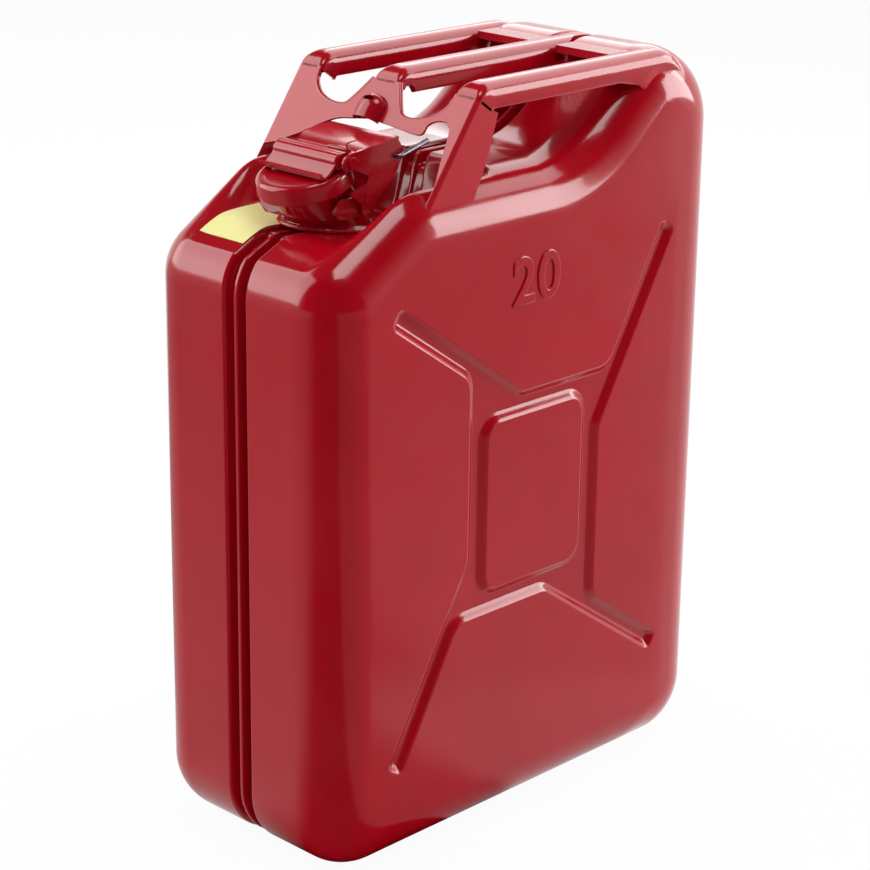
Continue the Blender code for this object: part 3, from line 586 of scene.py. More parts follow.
# Filler neck
# A leaning tube drawn from sheet, oval where it is welded into the well and round at its mouth,
# with a rolled bead that the cap closes over.
cap_centre = Vector((-0.118, 0, 0.424))
cap_tilt = math.radians(13)
cap_sheet = 0.0012
gasket_thickness = 0.0025
neck_sheet = 0.0014
mouth_radius = 0.0235
neck_foot_half_x = 0.027
neck_foot_half_y = 0.0235
neck_sides = 96
cap_up = Vector((-math.sin(cap_tilt), 0, math.cos(cap_tilt)))
cap_frame = Matrix.Translation(cap_centre) @ Matrix.Rotation(-cap_tilt, 4, "Y")
mouth_centre = cap_centre - cap_up * (cap_sheet + gasket_thickness + seat_gap + seat_gap)
foot_centre = Vector((neck_foot_x, 0, well_floor + seat_gap + neck_sheet))
neck_run = mouth_centre - foot_centre
neck_lean = neck_run.normalized()


def neck_ring(share, swell, lift=0):
    """An oval ring between the foot, at 0, and the mouth, at 1."""
    centre = foot_centre + neck_run * share + neck_lean * lift
    half_x = neck_foot_half_x + (mouth_radius - neck_foot_half_x) * share + swell
    half_y = neck_foot_half_y + (mouth_radius - neck_foot_half_y) * share + swell
    tilt = -well_fall + (cap_tilt + well_fall) * share
    along = Vector((math.cos(tilt), 0, math.sin(tilt))) * half_x
    return oval_ring(centre, along, Vector((0, half_y, 0)), neck_sides)


foot_flange = 0.004
foot_round = 0.0026
bead_low = 0.84
bead_high = 0.97
bead_swell = 0.0010
bead_steps = 10
neck_rings = [neck_ring(0, foot_flange), neck_ring(0, foot_round)]
for turn in lip_turns[1:]:
    angle = math.radians(turn)
    neck_rings.append(neck_ring(0, foot_round * (1 - math.sin(angle)), foot_round * (1 - math.cos(angle))))
neck_rings += [neck_ring(share, 0) for share in (0.3, 0.5, 0.7, bead_low)]
for step in range(1, bead_steps):
    share = step / bead_steps
    bead_place = bead_low + (bead_high - bead_low) * share
    neck_rings.append(neck_ring(bead_place, bead_swell * math.sin(math.pi * share)))
neck_rings += [neck_ring(bead_high, 0), neck_ring(1, 0)]
neck_mesh = skinned("leaning_neck", neck_rings, "open")
if neck_mesh.polygons[0].normal.z < 0:
    neck_mesh.flip_normals()
leaning_neck = named_piece("leaning_neck", neck_mesh, fitting_enamel, "can", "enamel", "filler_neck")
thickened(leaning_neck, neck_sheet)
finish_shading(leaning_neck, 50)

# Neck weld
# A fillet of weld closes the joint between the oval foot and the well. It is laid by hand,
# so its bead swells and narrows as it goes round.
foot_weld_inset = 0.0008
foot_weld_radius = 0.0024
foot_weld_swing = 0.0006
foot_weld_waves = 46
foot_weld_beats = 3
foot_weld_flat = 0.7
foot_weld_sink = 0.0006
weld_loop = []
for index, point in enumerate(neck_ring(0, foot_flange - foot_weld_inset)):
    angle = math.tau * index / neck_sides
    swing = math.sin(foot_weld_waves * angle) * math.cos(foot_weld_beats * angle)
    swell = foot_weld_radius + foot_weld_swing * swing
    outward = (point - foot_centre).normalized() * swell
    rise = Vector((0, 0, swell * foot_weld_flat))
    weld_loop.append(oval_ring(point - Vector((0, 0, foot_weld_sink)), outward, rise, weld_sides))
small_detail("neck_weld", weld_loop, "can", 80, "joined")

# Small pressed fittings
# Brackets, handle strips, the cam lever and the cap's bracket are blanked from sheet and bent.
# Each keeps its plain solid's shape and gets the rounded edge that a blanked sheet has.
fold_angle = 38
merge_distance = 0.00001
flat_angle = math.radians(1)


def rounded_edges(obj, width, segments, angle):
    """Round the edges that turn by more than the angle."""
    rounding = obj.modifiers.new("rounding", "BEVEL")
    rounding.width = width
    rounding.segments = segments
    rounding.limit_method = "ANGLE"
    rounding.angle_limit = math.radians(angle)
    apply_all(obj)


def rounded_copy(name, node, body, edge, surface=fitting_enamel, slot="enamel", segments=3):
    """The plain solid of a node with its loose triangles merged and its sheet edges rounded over."""
    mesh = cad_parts[node].data.copy()
    mesh.name = name
    bm = bmesh.new()
    bm.from_mesh(mesh)
    bmesh.ops.remove_doubles(bm, verts=bm.verts, dist=merge_distance)
    bmesh.ops.dissolve_limit(bm, angle_limit=flat_angle, verts=bm.verts, edges=bm.edges)
    bm.to_mesh(mesh)
    bm.free()
    obj = named_piece(name, mesh, surface, body, slot, node)
    rounded_edges(obj, edge, segments, fold_angle)
    finish_shading(obj, 35)


rounded_copy("pressed_bracket_near", "neck_bracket_near", "can", 0.0004)
rounded_copy("pressed_bracket_far", "neck_bracket_far", "can", 0.0004)
rounded_copy("cross_strip_near", "rear_strip_near", "can", 0.0005)
rounded_copy("cross_strip_far", "rear_strip_far", "can", 0.0005)
rounded_copy("pressed_lever", "cam_lever", "lever", 0.0005)
rounded_copy("riveted_bracket", "cap_bracket", "cap", 0.0004)

# Label
# A blank label of coated paper, pale yellow and slightly mottled, is stuck on the far half beside
# the seam.
film_pale = (0.90, 0.87, 0.36, 1)
film_warm = (0.85, 0.81, 0.30, 1)
paper_film = mottled("label_film", (film_pale, film_warm), (160, 4), [(0.4, 0), (0.72, 0.7)],
                     (300, 3), [(0.3, 0.38), (0.7, 0.55)], (900, 3), (0.2, 0.0001))
rounded_copy("film_label", "shoulder_label", "can", 0.00008, paper_film, "label", 1)

# Vent tube
# A zinc plated steel tube lets air in while fuel runs out. It is hidden but for its mouth,
# so it keeps the shape of its solid.
zinc_bright = (0.42, 0.42, 0.45, 1)
zinc_dull = (0.22, 0.22, 0.25, 1)
zinc = mottled("zinc_plate", (zinc_bright, zinc_dull), (190, 4), [(0.38, 0), (0.66, 1)],
               (400, 3), [(0.3, 0.26), (0.7, 0.48)], (1500, 2), (0.15, 0.0002))
zinc.node_tree.nodes["Principled BSDF"].inputs["Metallic"].default_value = 1.0
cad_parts["breather_tube"].data.materials.clear()
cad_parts["breather_tube"].data.materials.append(zinc)

# Handle plate
# The front of the handle is a leaning plate of 1.6 mm sheet in two halves, each with a side flange
# folded back and welded to the body, finger dips with a rolled edge, and an arch over the lever.
handle_sheet = 0.0016
handle_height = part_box("handle_bar_near")[1].z
plate_foot = Vector((-0.084, 0.420))
plate_lean = math.radians(54.9)
plate_half_width = 0.0762
plate_join = 0.0592
foot_depth = 0.040
flange_foot = Vector((-0.054, 0.4065))
flange_waist = Vector((-0.041, 0.434))
flange_top = Vector((-0.0335, 0.4577))
bar_depth = 0.016
fold_radius = 0.0034
cut_overrun = 0.012
arch_middle = 0.0335
arch_foot = 0.003
arch_half = 0.075
arch_shares = [(0, 1), (0.173, 0.934), (0.373, 0.82), (0.64, 0.41), (0.773, 0.197), (1, 0)]
notch_side = [(0.0200, 0.0318), (0.0440, 0.0300), (0.0475, 0.0370), (0.0530, 0.0405),
              (0.0615, 0.0405), (0.0660, 0.0340), (0.0700, 0.0150), (0.0732, 0.0030)]
dip_inner = 0.0110
dip_outer = 0.0570
dip_low = 0.0385
dip_shares = [(0, 1), (0.17, 0.35), (0.30, 0.03), (0.54, 0), (0.80, 0.20), (0.967, 0.55), (1, 0.82)]
curve_steps = 8

plate_along = Vector((math.cos(plate_lean), math.sin(plate_lean)))
plate_front = Vector((-math.sin(plate_lean), math.cos(plate_lean)))
slope_frame = Matrix(((plate_along.x, 0, plate_front.x, plate_foot.x), (0, 1, 0, 0),
                      (plate_along.y, 0, plate_front.y, plate_foot.y), (0, 0, 0, 1)))


def slope_point(run, depth=0):
    """A place on the front plate: run up the slope, depth behind its face."""
    return plate_foot + plate_along * run - plate_front * depth


def curved(points):
    """A smooth line through the points, which stay on it."""
    line = []
    ends = [points[0], *points, points[-1]]
    for before, start, end, after in zip(ends, ends[1:], ends[2:], ends[3:]):
        for step in range(curve_steps):
            t = step / curve_steps
            spot = []
            for a, b, c, d in zip(before, start, end, after):
                spot.append(0.5 * (2 * b + (c - a) * t + (2 * a - 5 * b + 4 * c - d) * t ** 2
                                   + (3 * b - a - 3 * c + d) * t ** 3))
            line.append(tuple(spot))
    line.append(tuple(points[-1]))
    return line


def prism(outline, low, high, name, fold=None):
    """A flat outline in X and Z drawn through from Y low to Y high; fold is a side and its radius."""
    bm = bmesh.new()
    face = bm.faces.new([bm.verts.new((x, low, z)) for x, z in outline])
    grown = bmesh.ops.extrude_face_region(bm, geom=[face])
    lifted = [item for item in grown["geom"] if isinstance(item, bmesh.types.BMVert)]
    bmesh.ops.translate(bm, vec=(0, high - low, 0), verts=lifted)
    if fold:
        fold_y, radius = fold
        side_edges = []
        for edge in bm.edges:
            first, last = (vert.co for vert in edge.verts)
            run = Vector((last.x - first.x, last.z - first.z))
            on_side = max(abs(first.y - fold_y), abs(last.y - fold_y)) < seat_gap / 9
            if on_side and run.length > foot_depth and abs(run.normalized().dot(plate_along)) > 0.999:
                side_edges.append(edge)
        bmesh.ops.bevel(bm, geom=side_edges, offset=radius, segments=6, profile=0.5, affect="EDGES")
    return mesh_of(bm, name)


def cutter(mesh):
    obj = bpy.data.objects.new(mesh.name + "_cutter", mesh)
    bpy.context.scene.collection.objects.link(obj)
    return obj


def slope_cutter(name, outline):
    """A cutter through the plate; the outline is in width and run up the slope."""
    turned = [(run, width) for width, run in outline]
    mesh = prism(turned, -cut_overrun, cut_overrun, name)
    swap_axes = Matrix(((1, 0, 0, 0), (0, 0, 1, 0), (0, 1, 0, 0), (0, 0, 0, 1)))
    mesh.transform(slope_frame @ swap_axes)
    mesh.flip_normals()
    return cutter(mesh)


envelope_section = [(well_flat_half, 0), *edge_section()]
envelope_section = [(-y, inward) for y, inward in reversed(envelope_section)] + envelope_section
envelope_rings = []
for y, inward in envelope_section:
    envelope_ring = []
    for station in body_outline():
        x, z = tray_point(station, y, inward - seat_gap / 3)
        envelope_ring.append((x, y, z))
    envelope_rings.append(envelope_ring)
envelope = cutter(skinned("envelope", envelope_rings))

arch_rise = arch_middle - arch_foot
arch_side = curved([(across * arch_half, arch_foot + up * arch_rise) for across, up in arch_shares])
arch_side[-1] = (plate_half_width - handle_sheet, arch_foot)
notch_line = curved([(0, arch_middle), *notch_side])
arch_outline = [(-width, run) for width, run in reversed(notch_line[1:])] + arch_side
arch_outline += [(arch_side[-1][0], -2 * foot_depth), (-notch_line[-1][0], -2 * foot_depth)]
arch_cutter = slope_cutter("arch", arch_outline)
dip_line = curved([(dip_inner + across * (dip_outer - dip_inner), dip_low + up * (plate_join - dip_low))
                   for across, up in dip_shares])
sheet_edge = 0.0004
sheet_edge_angle = 50


def front_plate(name, side, *nodes):
    """Half of the front plate, folded along its outer side and trimmed to the body."""
    block = [slope_point(-foot_depth), flange_foot, flange_waist, flange_top,
             slope_point(plate_join, bar_depth), slope_point(plate_join)]
    low, high = sorted((0, side * plate_half_width))
    mesh = prism(block, low, high, name, fold=(side * plate_half_width, fold_radius))
    plate = named_piece(name, mesh, fitting_enamel, "can", "enamel", *nodes)
    hollow = [slope_point(-foot_depth - cut_overrun, handle_sheet), (0, plate_foot.y - 2 * foot_depth),
              (0, handle_height), slope_point(plate_join + cut_overrun, handle_sheet)]
    wall = side * (plate_half_width - handle_sheet)
    low, high = sorted((-side * cut_overrun, wall))
    hollow_fold = (wall, fold_radius - handle_sheet)
    hollow_cutter = cutter(prism(hollow, low, high, name + "_hollow", fold=hollow_fold))
    dip = [(side * width, run) for width, run in dip_line]
    dip += [(side * width, plate_join + cut_overrun) for width in (dip_outer, dip_inner)]
    dip_cutter = slope_cutter(name + "_dip", dip if side < 0 else dip[::-1])
    cut_away(plate, hollow_cutter, arch_cutter, dip_cutter, envelope)
    for tool in (hollow_cutter, dip_cutter):
        bpy.data.objects.remove(tool)
    rounded_edges(plate, sheet_edge, 2, sheet_edge_angle)
    finish_shading(plate, 35)


front_plate("folded_plate_near", -1, "handle_plate_near")
front_plate("folded_plate_far", 1, "handle_plate_far")

# Rolled edges of the finger dips
# The edge of each dip is curled back on itself, so that it doesn't cut into the fingers.
roll_radius = 0.0016
roll_sink = 0.00144
roll_sides = 12
any_side = Vector((0.31, 0.17, 0.93))


def tube_along(points, radius, sides):
    """Rings of a round bar that follows a path of points."""
    rings = []
    for index, point in enumerate(points):
        run = (points[min(index + 1, len(points) - 1)] - points[max(index - 1, 0)]).normalized()
        if rings:
            across = (across - run * across.dot(run)).normalized()
        else:
            across = run.cross(any_side).normalized()
        rings.append(oval_ring(point, across * radius, run.cross(across) * radius, sides))
    return rings


for half_name, side in (("near", -1), ("far", 1)):
    roll_path = [slope_frame @ Vector((run, side * width, -roll_sink)) for width, run in dip_line]
    small_detail("dip_roll_" + half_name, tube_along(roll_path, roll_radius, roll_sides), "can", 60)

# Seal tongue
# A small hood pressed out of sheet stands on the middle of the plate, with a slot for a seal wire.
tongue_half = 0.010
tongue_low = 0.031
tongue_high = 0.049
tongue_round = 0.009
tongue_bulge = 0.008
tongue_steps = 20
slot_run = 0.0435
slot_half_run = 0.0017
slot_half_width = 0.0042

bm = bmesh.new()
tongue_rows = []
for step in range(tongue_steps):
    run = tongue_low + (tongue_high - tongue_low) * step / tongue_steps
    past = max(run - (tongue_high - tongue_round), 0) / tongue_round
    share = math.sqrt(1 - past * past)
    row = []
    for turn in range(tongue_steps + 1):
        angle = math.pi * turn / tongue_steps
        across = -tongue_half * share * math.cos(angle)
        rise = seat_gap + tongue_bulge * share * math.sin(angle)
        row.append(bm.verts.new(slope_frame @ Vector((run, across, rise))))
    tongue_rows.append(row)
for row, following in zip(tongue_rows, tongue_rows[1:]):
    bridge(bm, row, following, closed=False)
bm.faces.new(tongue_rows[-1])
tongue_mesh = mesh_of(bm, "seal_tongue")
crown = max(tongue_mesh.polygons, key=lambda face: face.center.z)
crown_way = plate_front + plate_along
if crown.normal.dot(Vector((crown_way.x, 0, crown_way.y))) < 0:
    tongue_mesh.flip_normals()
seal_tongue = named_piece("seal_tongue", tongue_mesh, fitting_enamel, "can", "enamel", "handle_tongue")
thickened(seal_tongue, body_sheet, even=False)
tongue_slot = oval_tool("tongue_slot", 32, slope_frame @ Matrix.Translation((slot_run, 0, tongue_bulge))
                        @ Matrix.Diagonal((slot_half_run, slot_half_width, tongue_bulge / 2, 1)))
cut_away(seal_tongue, tongue_slot)
bpy.data.objects.remove(tongue_slot)
finish_shading(seal_tongue, 45)

# Handle bars
# Three inverted channels of the same sheet run from the plate round a bend to the hump,
# where they are tapered off and welded down.
bar_bend = 0.017
bar_edge_radius = 0.0086
bar_edge_steps = 8
outer_bar_width = 0.0200
centre_bar_width = 0.0220
bar_bend_steps = 14
bar_lip = 0.0024
centre_start_depth = 0.008
rear_depth = 0.036
bar_taper = [(0.076, bar_depth), (0.094, 0.0195), (0.106, 0.028), (0.116, rear_depth)]
bar_fall = [(0.120, 0.0002), (0.124, 0.0011), (0.1275, 0.0026), (0.131, 0.0050), (0.1345, 0.0088),
            (0.137, 0.0130), (0.138, 0.0165)]
bar_rear = [(x, 0, depth) for x, depth in bar_taper] + [(x, fall, rear_depth) for x, fall in bar_fall]
bend_corner_run = (handle_height - plate_foot.y) / plate_along.y
bend_reach = bar_bend * math.tan(plate_lean / 2)


def bar_section(width, depth, crown):
    """Closed outline of an inverted channel, across and down from the crown."""
    section = []
    for sheet, order in ((0, 1), (handle_sheet, -1)):
        half = width / 2 - sheet
        radius = crown - sheet
        points = [(-half + bar_lip, depth), (-half + bar_lip / 4, depth - bar_lip / 4),
                  (-half, depth - bar_lip)]
        for side in (-1, 1):
            for step in range(bar_edge_steps + 1):
                angle = math.pi / 2 * step / bar_edge_steps
                across = math.cos(angle) if side < 0 else math.sin(angle)
                up = math.sin(angle) if side < 0 else math.cos(angle)
                points.append((side * (half - radius + radius * across), sheet + radius - radius * up))
        points += [(-across, deep) for across, deep in points[2::-1]]
        section.extend(points[::order])
    return section


def handle_bar(name, centre_y, width, node, start_depth=bar_depth):
    """A bar drawn round its front bend and over to the hump, then trimmed to the body."""
    start = slope_point(bend_corner_run - bend_reach)
    middle = start - plate_front * bar_bend
    path = [(slope_point(plate_join - handle_sheet), plate_lean, start_depth, fold_radius)]
    for step in range(bar_bend_steps + 1):
        share = step / bar_bend_steps
        angle = plate_lean * (1 - share)
        crown = fold_radius + (bar_edge_radius - fold_radius) * smooth_step(share, 0, 1)
        depth = start_depth + (bar_depth - start_depth) * smooth_step(share, 0, 1)
        path.append((middle + Vector((-math.sin(angle), math.cos(angle))) * bar_bend, angle, depth, crown))
    for x, fall, depth in bar_rear:
        path.append((Vector((x, handle_height - fall)), 0, depth - fall, bar_edge_radius))
    rings = []
    for place, angle, depth, crown in path:
        down = Vector((math.sin(angle), -math.cos(angle)))
        ring = []
        for across, deep in bar_section(width, depth, crown):
            point = place + down * deep
            ring.append((point.x, centre_y + across, point.y))
        rings.append(ring)
    bar = named_piece(name, skinned(name, rings), fitting_enamel, "can", "enamel", node)
    cut_away(bar, envelope)
    rounded_edges(bar, sheet_edge, 2, sheet_edge_angle)
    finish_shading(bar, 35)


outer_bar_y = plate_half_width - outer_bar_width / 2
handle_bar("channel_bar_near", -outer_bar_y, outer_bar_width, "handle_bar_near")
handle_bar("channel_bar_centre", 0, centre_bar_width, "handle_bar_centre", centre_start_depth)
handle_bar("channel_bar_far", outer_bar_y, outer_bar_width, "handle_bar_far")
for tool in (arch_cutter, envelope):
    bpy.data.objects.remove(tool)

# Cap
# A shallow cup pressed from 1.2 mm sheet with a wide rounded shoulder and a curled skirt.
# A black rubber ring is seated inside it and closes on the mouth of the neck.
cap_turns = 96
cap_shoulder = 0.0034
cap_flat = 0.0205
cap_step = 0.0007
cap_step_run = 0.0018
cap_radius = 0.0283
cap_rim_radius = 0.0289
cap_height = 0.0105
rim_curl = [(0, 0.0008), (0.0002, 0.0002), (0.0007, 0), (0.0012, 0.0003)]
outer_steps = 10
inner_steps = 7


def turned_piece(name, profile, closed, surface, slot, node):
    """A profile of radius and height, turned about the cap axis."""
    mesh = bpy.data.meshes.new(name)
    links = [(index, index + 1) for index in range(len(profile) - 1)]
    if closed:
        links.append((len(profile) - 1, 0))
    mesh.from_pydata([(radius, 0, height) for radius, height in profile], links, [])
    obj = bpy.data.objects.new(name, mesh)
    bpy.context.scene.collection.objects.link(obj)
    screw = obj.modifiers.new("turn", "SCREW")
    screw.steps = cap_turns
    screw.render_steps = cap_turns
    screw.use_merge_vertices = True
    screw.merge_threshold = merge_distance
    apply_all(obj)
    obj.data.transform(cap_frame)
    bm = bmesh.new()
    bm.from_mesh(obj.data)
    bmesh.ops.recalc_face_normals(bm, faces=bm.faces)
    bm.to_mesh(obj.data)
    bm.free()
    dressed(obj, surface, "cap", slot, node)
    finish_shading(obj, 50)


def shoulder_point(radius, turn):
    """A point of the shoulder's rounding, turned outwards from its top."""
    return (cap_radius - cap_shoulder + radius * math.sin(turn),
            cap_step - cap_shoulder + radius * math.cos(turn))


cap_profile = [(0, 0), (cap_flat / 2, 0), (cap_flat, 0), (cap_flat + cap_step_run / 2, cap_step / 2),
               (cap_flat + cap_step_run, cap_step)]
for step in range(outer_steps + 1):
    cap_profile.append(shoulder_point(cap_shoulder, math.pi / 2 * step / outer_steps))
cap_profile += [(cap_rim_radius - inward, rise - cap_height) for inward, rise in rim_curl]
for step in range(inner_steps + 1):
    cap_profile.append(shoulder_point(cap_shoulder - cap_sheet, math.pi / 2 * (1 - step / inner_steps)))
cap_profile += [(cap_flat + cap_step_run, cap_step - cap_sheet), (cap_flat, -cap_sheet), (0, -cap_sheet)]
turned_piece("cap_cup", cap_profile, False, fitting_enamel, "enamel", "cap_disc")

gasket_inner = 0.020
gasket_outer = 0.0256
gasket_round = 0.0005
gasket_top = -cap_sheet - seat_gap
gasket_low = gasket_top - gasket_thickness
gasket_corners = [(gasket_inner, gasket_top), (gasket_outer, gasket_top),
                  (gasket_outer, gasket_low), (gasket_inner, gasket_low)]
gasket_profile = filleted(gasket_corners, [gasket_round] * 4, 3)
rubber_black = (0.012, 0.012, 0.013, 1)
rubber_bloom = (0.05, 0.05, 0.052, 1)
rubber = mottled("sealing_rubber", (rubber_black, rubber_bloom), (120, 4), [(0.45, 0), (0.75, 0.6)],
                 (500, 3), [(0.3, 0.55), (0.7, 0.8)], (1800, 3), (0.3, 0.0002))
turned_piece("rubber_ring", gasket_profile, True, rubber, "seal", "cap_gasket")

# Cross rivet
# A steel rivet with domed heads passes through both cheeks of the lever and the ears of the cap.
rivet_axis = Vector((-0.1065, 0, 0.4316))
rivet_radius = 0.0020
rivet_head_radius = 0.0033
rivet_head_rise = 0.0013
rivet_dome = 0.55
rivet_chamfer = 0.0002
rivet_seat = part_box("cam_lever")[1].y + 0.0001


def side_disc(radius, half_thickness, middle_y, dome):
    """A short round bar across the can, its outer edge rounded by the dome."""
    bpy.ops.object.select_all(action="DESELECT")
    bpy.ops.mesh.primitive_cylinder_add(vertices=40, radius=radius, depth=2 * half_thickness)
    obj = bpy.context.object
    obj.data.transform(Matrix.Translation((rivet_axis.x, middle_y, rivet_axis.z))
                       @ Matrix.Rotation(math.pi / 2, 4, "X"))
    bpy.ops.object.mode_set(mode="EDIT")
    bpy.ops.mesh.select_all(action="SELECT")
    bpy.ops.mesh.bevel(offset=dome, segments=4, affect="EDGES", clamp_overlap=True)
    bpy.ops.object.mode_set(mode="OBJECT")
    return obj


head_y = rivet_seat + rivet_head_rise / 2
shaft = side_disc(rivet_radius, head_y, 0, rivet_chamfer)
heads = [side_disc(rivet_head_radius, rivet_head_rise / 2, side * head_y, rivet_head_rise * rivet_dome)
         for side in (-1, 1)]
bpy.ops.object.select_all(action="DESELECT")
for item in (shaft, *heads):
    item.select_set(True)
bpy.context.view_layer.objects.active = shaft
bpy.ops.object.join()
domed_rivet = bpy.context.object
domed_rivet.name = "domed_rivet"
dressed(domed_rivet, fitting_enamel, "lever", "enamel", "cross_rivet")
finish_shading(domed_rivet, 50)

# Lever ridge, rib and wire
# The lever's web is rolled into a full ridge above its nose, stiffened by a pressed rib, and a bit
# of thin wire is left hooked over it.
ridge_centre = Vector((-0.1124, 0, 0.4324))
ridge_radius = 0.0049
ridge_half = 0.0262
ridge_end = 0.98
ridge_end_share = 0.9
rib_centre = Vector((-0.0985, -0.0105, 0.4362))
rib_halves = (0.0022, 0.0100, 0.0014)
hook_radius = 0.0005
hook_points = [(-0.1010, -0.0215, 0.4358), (-0.1025, -0.0215, 0.4385), (-0.1032, -0.0214, 0.4400),
               (-0.1025, -0.0213, 0.4410), (-0.0990, -0.0211, 0.4415), (-0.0950, -0.0208, 0.4417)]
ridge_path = [ridge_centre + Vector((0, share * ridge_half, 0)) for share in (-1, -ridge_end, ridge_end, 1)]
ridge_rings = tube_along(ridge_path, ridge_radius, 40)
for ring in (ridge_rings[0], ridge_rings[-1]):
    middle = sum(ring, Vector()) / len(ring)
    for index, point in enumerate(ring):
        ring[index] = middle + (point - middle) * ridge_end_share
small_detail("lever_ridge", ridge_rings, "lever", 50)
bpy.ops.object.select_all(action="DESELECT")
bpy.ops.mesh.primitive_uv_sphere_add(segments=32, ring_count=16, radius=1)
lever_rib = bpy.context.object
lever_rib.name = "lever_rib"
lever_rib.data.transform(Matrix.Translation(rib_centre) @ Matrix.Diagonal((*rib_halves, 1)))
dressed(lever_rib, fitting_enamel, "lever", "enamel")
finish_shading(lever_rib, 60)
hook_rings = tube_along([Vector(point) for point in hook_points], hook_radius, 12)
small_detail("wire_hook", hook_rings, "lever", 60)

# Locking pin
# A zinc plated wire pin through both cheeks, with a leg bent back along the near cheek to pull it by.
pin_axis = Vector((-0.0715, 0, 0.4305))
pin_radius = 0.0015
pin_bend_radii = 1.5
pin_chamfer = 0.0004
leg_length = 0.0248
leg_rise = math.radians(14.5)
bend_steps = 8
pin_low, pin_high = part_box("locking_pin")
pin_corner = Vector((pin_axis.x, pin_low.y + pin_radius, pin_axis.z))
leg_way = Vector((math.cos(leg_rise), 0, math.sin(leg_rise)))
bend_start = pin_corner + Vector((0, 1, 0)) * pin_radius * pin_bend_radii
bend_end = pin_corner + leg_way * pin_radius * pin_bend_radii
pin_path = [Vector((pin_axis.x, pin_high.y, pin_axis.z))]
for step in range(bend_steps + 1):
    share = step / bend_steps
    pin_path.append(bend_start.lerp(pin_corner, share).lerp(pin_corner.lerp(bend_end, share), share))
pin_path.append(pin_corner + leg_way * leg_length)
wire_pin = named_piece("wire_pin", skinned("wire_pin", tube_along(pin_path, pin_radius, 24)),
                       zinc, "pin", "plain_steel", "locking_pin")
rounded_edges(wire_pin, pin_chamfer, 3, 60)
finish_shading(wire_pin, 50)

# Floor, backdrop, lamps and camera
# A white floor and surround, an overhead soft box, one behind the can and one at each side. The room
# is dark on the camera's side, which the enamel mirrors where it faces the camera.
floor_reach = 40
view_azimuth = math.radians(-45.78)
view_elevation = math.radians(19.12)
view_roll = math.radians(0.75)
view_distance = 1.6076
view_target = Vector((-0.0044, 0, 0.2335))
lens_length = 104.26
studio = bpy.context.scene
toward = Vector((math.sin(view_azimuth) * math.cos(view_elevation),
                 -math.cos(view_azimuth) * math.cos(view_elevation), math.sin(view_elevation)))
camera_side = Vector((toward.x, toward.y, 0)).normalized()
right_side = Vector((-camera_side.y, camera_side.x, 0))


def combined(tree, operation, first, second):
    """One number from two, each a socket or a plain number."""
    node = tree.nodes.new("ShaderNodeMath")
    node.operation = operation
    for socket, value in ((node.inputs[0], first), (node.inputs[1], second)):
        if isinstance(value, (int, float)):
            socket.default_value = value
        else:
            tree.links.new(value, socket)
    return node.outputs["Value"]


def along_line(tree, place, direction, origin=Vector()):
    """How far a place lies from the origin along a direction."""
    node = tree.nodes.new("ShaderNodeVectorMath")
    node.operation = "DOT_PRODUCT"
    tree.links.new(place, node.inputs[0])
    node.inputs[1].default_value = direction
    return combined(tree, "SUBTRACT", node.outputs["Value"], origin.dot(direction))


def white_to_the_eye(tree, plain, mirrored, share=1.0):
    """White when seen directly, as bright as mirrored says in a reflection, and plain as a light."""
    path = tree.nodes.new("ShaderNodeLightPath")
    seen = path.outputs["Is Camera Ray"]
    in_mirror = combined(tree, "MAXIMUM", path.outputs["Is Glossy Ray"],
                         path.outputs["Is Transmission Ray"])
    white = tree.nodes.new("ShaderNodeEmission")
    white.inputs["Color"].default_value = grey(1)
    tree.links.new(combined(tree, "MAXIMUM", seen, mirrored), white.inputs["Strength"])
    mix = tree.nodes.new("ShaderNodeMixShader")
    shown = combined(tree, "MAXIMUM", combined(tree, "MULTIPLY", seen, share), in_mirror)
    tree.links.new(shown, mix.inputs["Fac"])
    tree.links.new(plain, mix.inputs[1])
    tree.links.new(white.outputs["Emission"], mix.inputs[2])
    return mix.outputs["Shader"]


bpy.ops.object.select_all(action="DESELECT")
bpy.ops.mesh.primitive_plane_add(size=floor_reach)
floor = bpy.context.object
floor.name = "studio_floor"
floor_paper = bpy.data.materials.new("floor_paper")
floor_paper.use_nodes = True
paper = floor_paper.node_tree
paper_shader = paper.nodes["Principled BSDF"]
paper_shader.inputs["Base Color"].default_value = grey(0.86)
paper_shader.inputs["Roughness"].default_value = 0.9
paper_shader.inputs["Specular IOR Level"].default_value = 0.1

# The wide face mirrors the floor beside it: dim under the camera, brighter past two straight edges
mirror_eye = Vector((-1.093, 0.894, 0))
dim_edge = Vector((0.701, 0.713, 0))
bright_edge = Vector((0.624, 0.781, 0))
dim_gain = 0.04
bright_gain = 0.9
plain_glow = 0.50
glow_reach = 3
place = paper.nodes.new("ShaderNodeTexCoord").outputs["Object"]
length = paper.nodes.new("ShaderNodeVectorMath")
length.operation = "LENGTH"
paper.links.new(place, length.inputs[0])
reach = length.outputs["Value"]
bearing = combined(paper, "DIVIDE", along_line(paper, place, camera_side), reach)
turn = combined(paper, "DIVIDE", along_line(paper, place, right_side), reach)
turn = combined(paper, "ADD", combined(paper, "MULTIPLY", turn, 0.5), 0.5)
front_glow = levels(paper, turn, [(0.10, plain_glow), (0.22, 0), (0.55, 0), (0.57, 0.22), (0.94, 0.26),
                                   (0.97, plain_glow)])
before_can = levels(paper, bearing, [(0, 0), (0.12, 1)])
side_glow = blended(paper, before_can, grey(plain_glow), front_glow)
near_glow = combined(paper, "MULTIPLY", levels(paper, reach, [(0.24, 0.62), (0.42, 0)]),
                     levels(paper, bearing, [(0.6, 1), (0.85, 0)]))
fall = levels(paper, combined(paper, "DIVIDE", reach, glow_reach), [(0.07, 1), (0.40, 0.60), (0.85, 1)])
glow = combined(paper, "MULTIPLY", combined(paper, "MAXIMUM", near_glow, side_glow), fall)
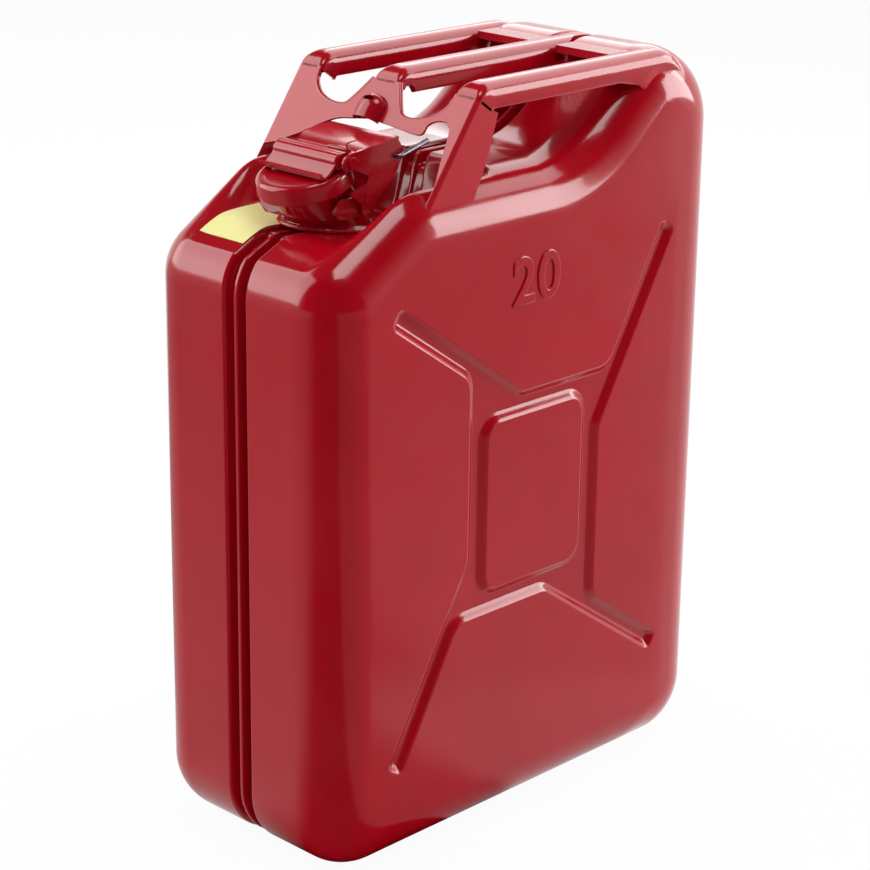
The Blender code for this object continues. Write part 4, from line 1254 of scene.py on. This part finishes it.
right_hand = levels(paper, along_line(paper, place, Vector((1, 0, 0))), [(0.05, 0), (0.2, 1)])
for edge, gain in ((dim_edge, dim_gain), (bright_edge, bright_gain)):
    past_edge = levels(paper, along_line(paper, place, edge, mirror_eye), [(0, 0), (0.01, 1)])
    past_edge = combined(paper, "MULTIPLY", right_hand, past_edge)
    glow = combined(paper, "ADD", glow, combined(paper, "MULTIPLY", past_edge, gain))
glow = combined(paper, "MINIMUM", glow, 1.0)
paper.links.new(white_to_the_eye(paper, paper_shader.outputs["BSDF"], glow, share=0.95),
                paper.nodes["Material Output"].inputs["Surface"])
floor.data.materials.append(floor_paper)

surround = bpy.data.worlds.new("white_surround")
surround.use_nodes = True
air = surround.node_tree
sky = air.nodes["Background"]
sky.inputs["Color"].default_value = grey(1)
sky.inputs["Strength"].default_value = 0.30
way = air.nodes.new("ShaderNodeTexCoord").outputs["Generated"]
side_sky = levels(air, along_line(air, way, camera_side), [(0.1, 1), (0.5, 0.02)])
high_sky = levels(air, along_line(air, way, Vector((0, 0, 1))), [(0.32, 1), (0.55, 0.05)])
sky_glow = combined(air, "MULTIPLY", side_sky, high_sky)
air.links.new(white_to_the_eye(air, sky.outputs["Background"], sky_glow),
              air.nodes["World Output"].inputs["Surface"])
studio.world = surround

aim = Vector((0, 0, 0.24))


def soft_box(name, place, width, power, height):
    """A soft box turned to the can."""
    lamp = bpy.data.lights.new(name, "AREA")
    lamp.shape = "RECTANGLE"
    lamp.size = width
    lamp.size_y = height
    lamp.energy = power
    holder = bpy.data.objects.new(name, lamp)
    studio.collection.objects.link(holder)
    holder.location = place
    holder.rotation_euler = (aim - Vector(place)).to_track_quat("-Z", "Y").to_euler()


soft_box("overhead_box", (-0.25, -0.5, 1.95), 0.75, 8.5, 0.75)
soft_box("crown_box", (1.6, 0.35, 1.55), 2.9, 32, 1.4)
soft_box("left_box", (-1.45, 1.8, 1.6), 2.6, 58, 2.6)
soft_box("right_box", (2.1, -1.5, 1.0), 1.5, 42, 1.5)

level = Vector((math.cos(view_azimuth), math.sin(view_azimuth), 0))
upright = toward.cross(level)
camera_right = level * math.cos(view_roll) + upright * math.sin(view_roll)
camera_up = upright * math.cos(view_roll) - level * math.sin(view_roll)
lens = bpy.data.cameras.new("camera")
lens.sensor_width = 36
lens.lens = lens_length
camera = bpy.data.objects.new("camera", lens)
studio.collection.objects.link(camera)
turned = Matrix((camera_right, camera_up, toward)).transposed().to_4x4()
camera.matrix_world = Matrix.Translation(view_target + toward * view_distance) @ turned
studio.camera = camera
studio.view_settings.view_transform = "Standard"
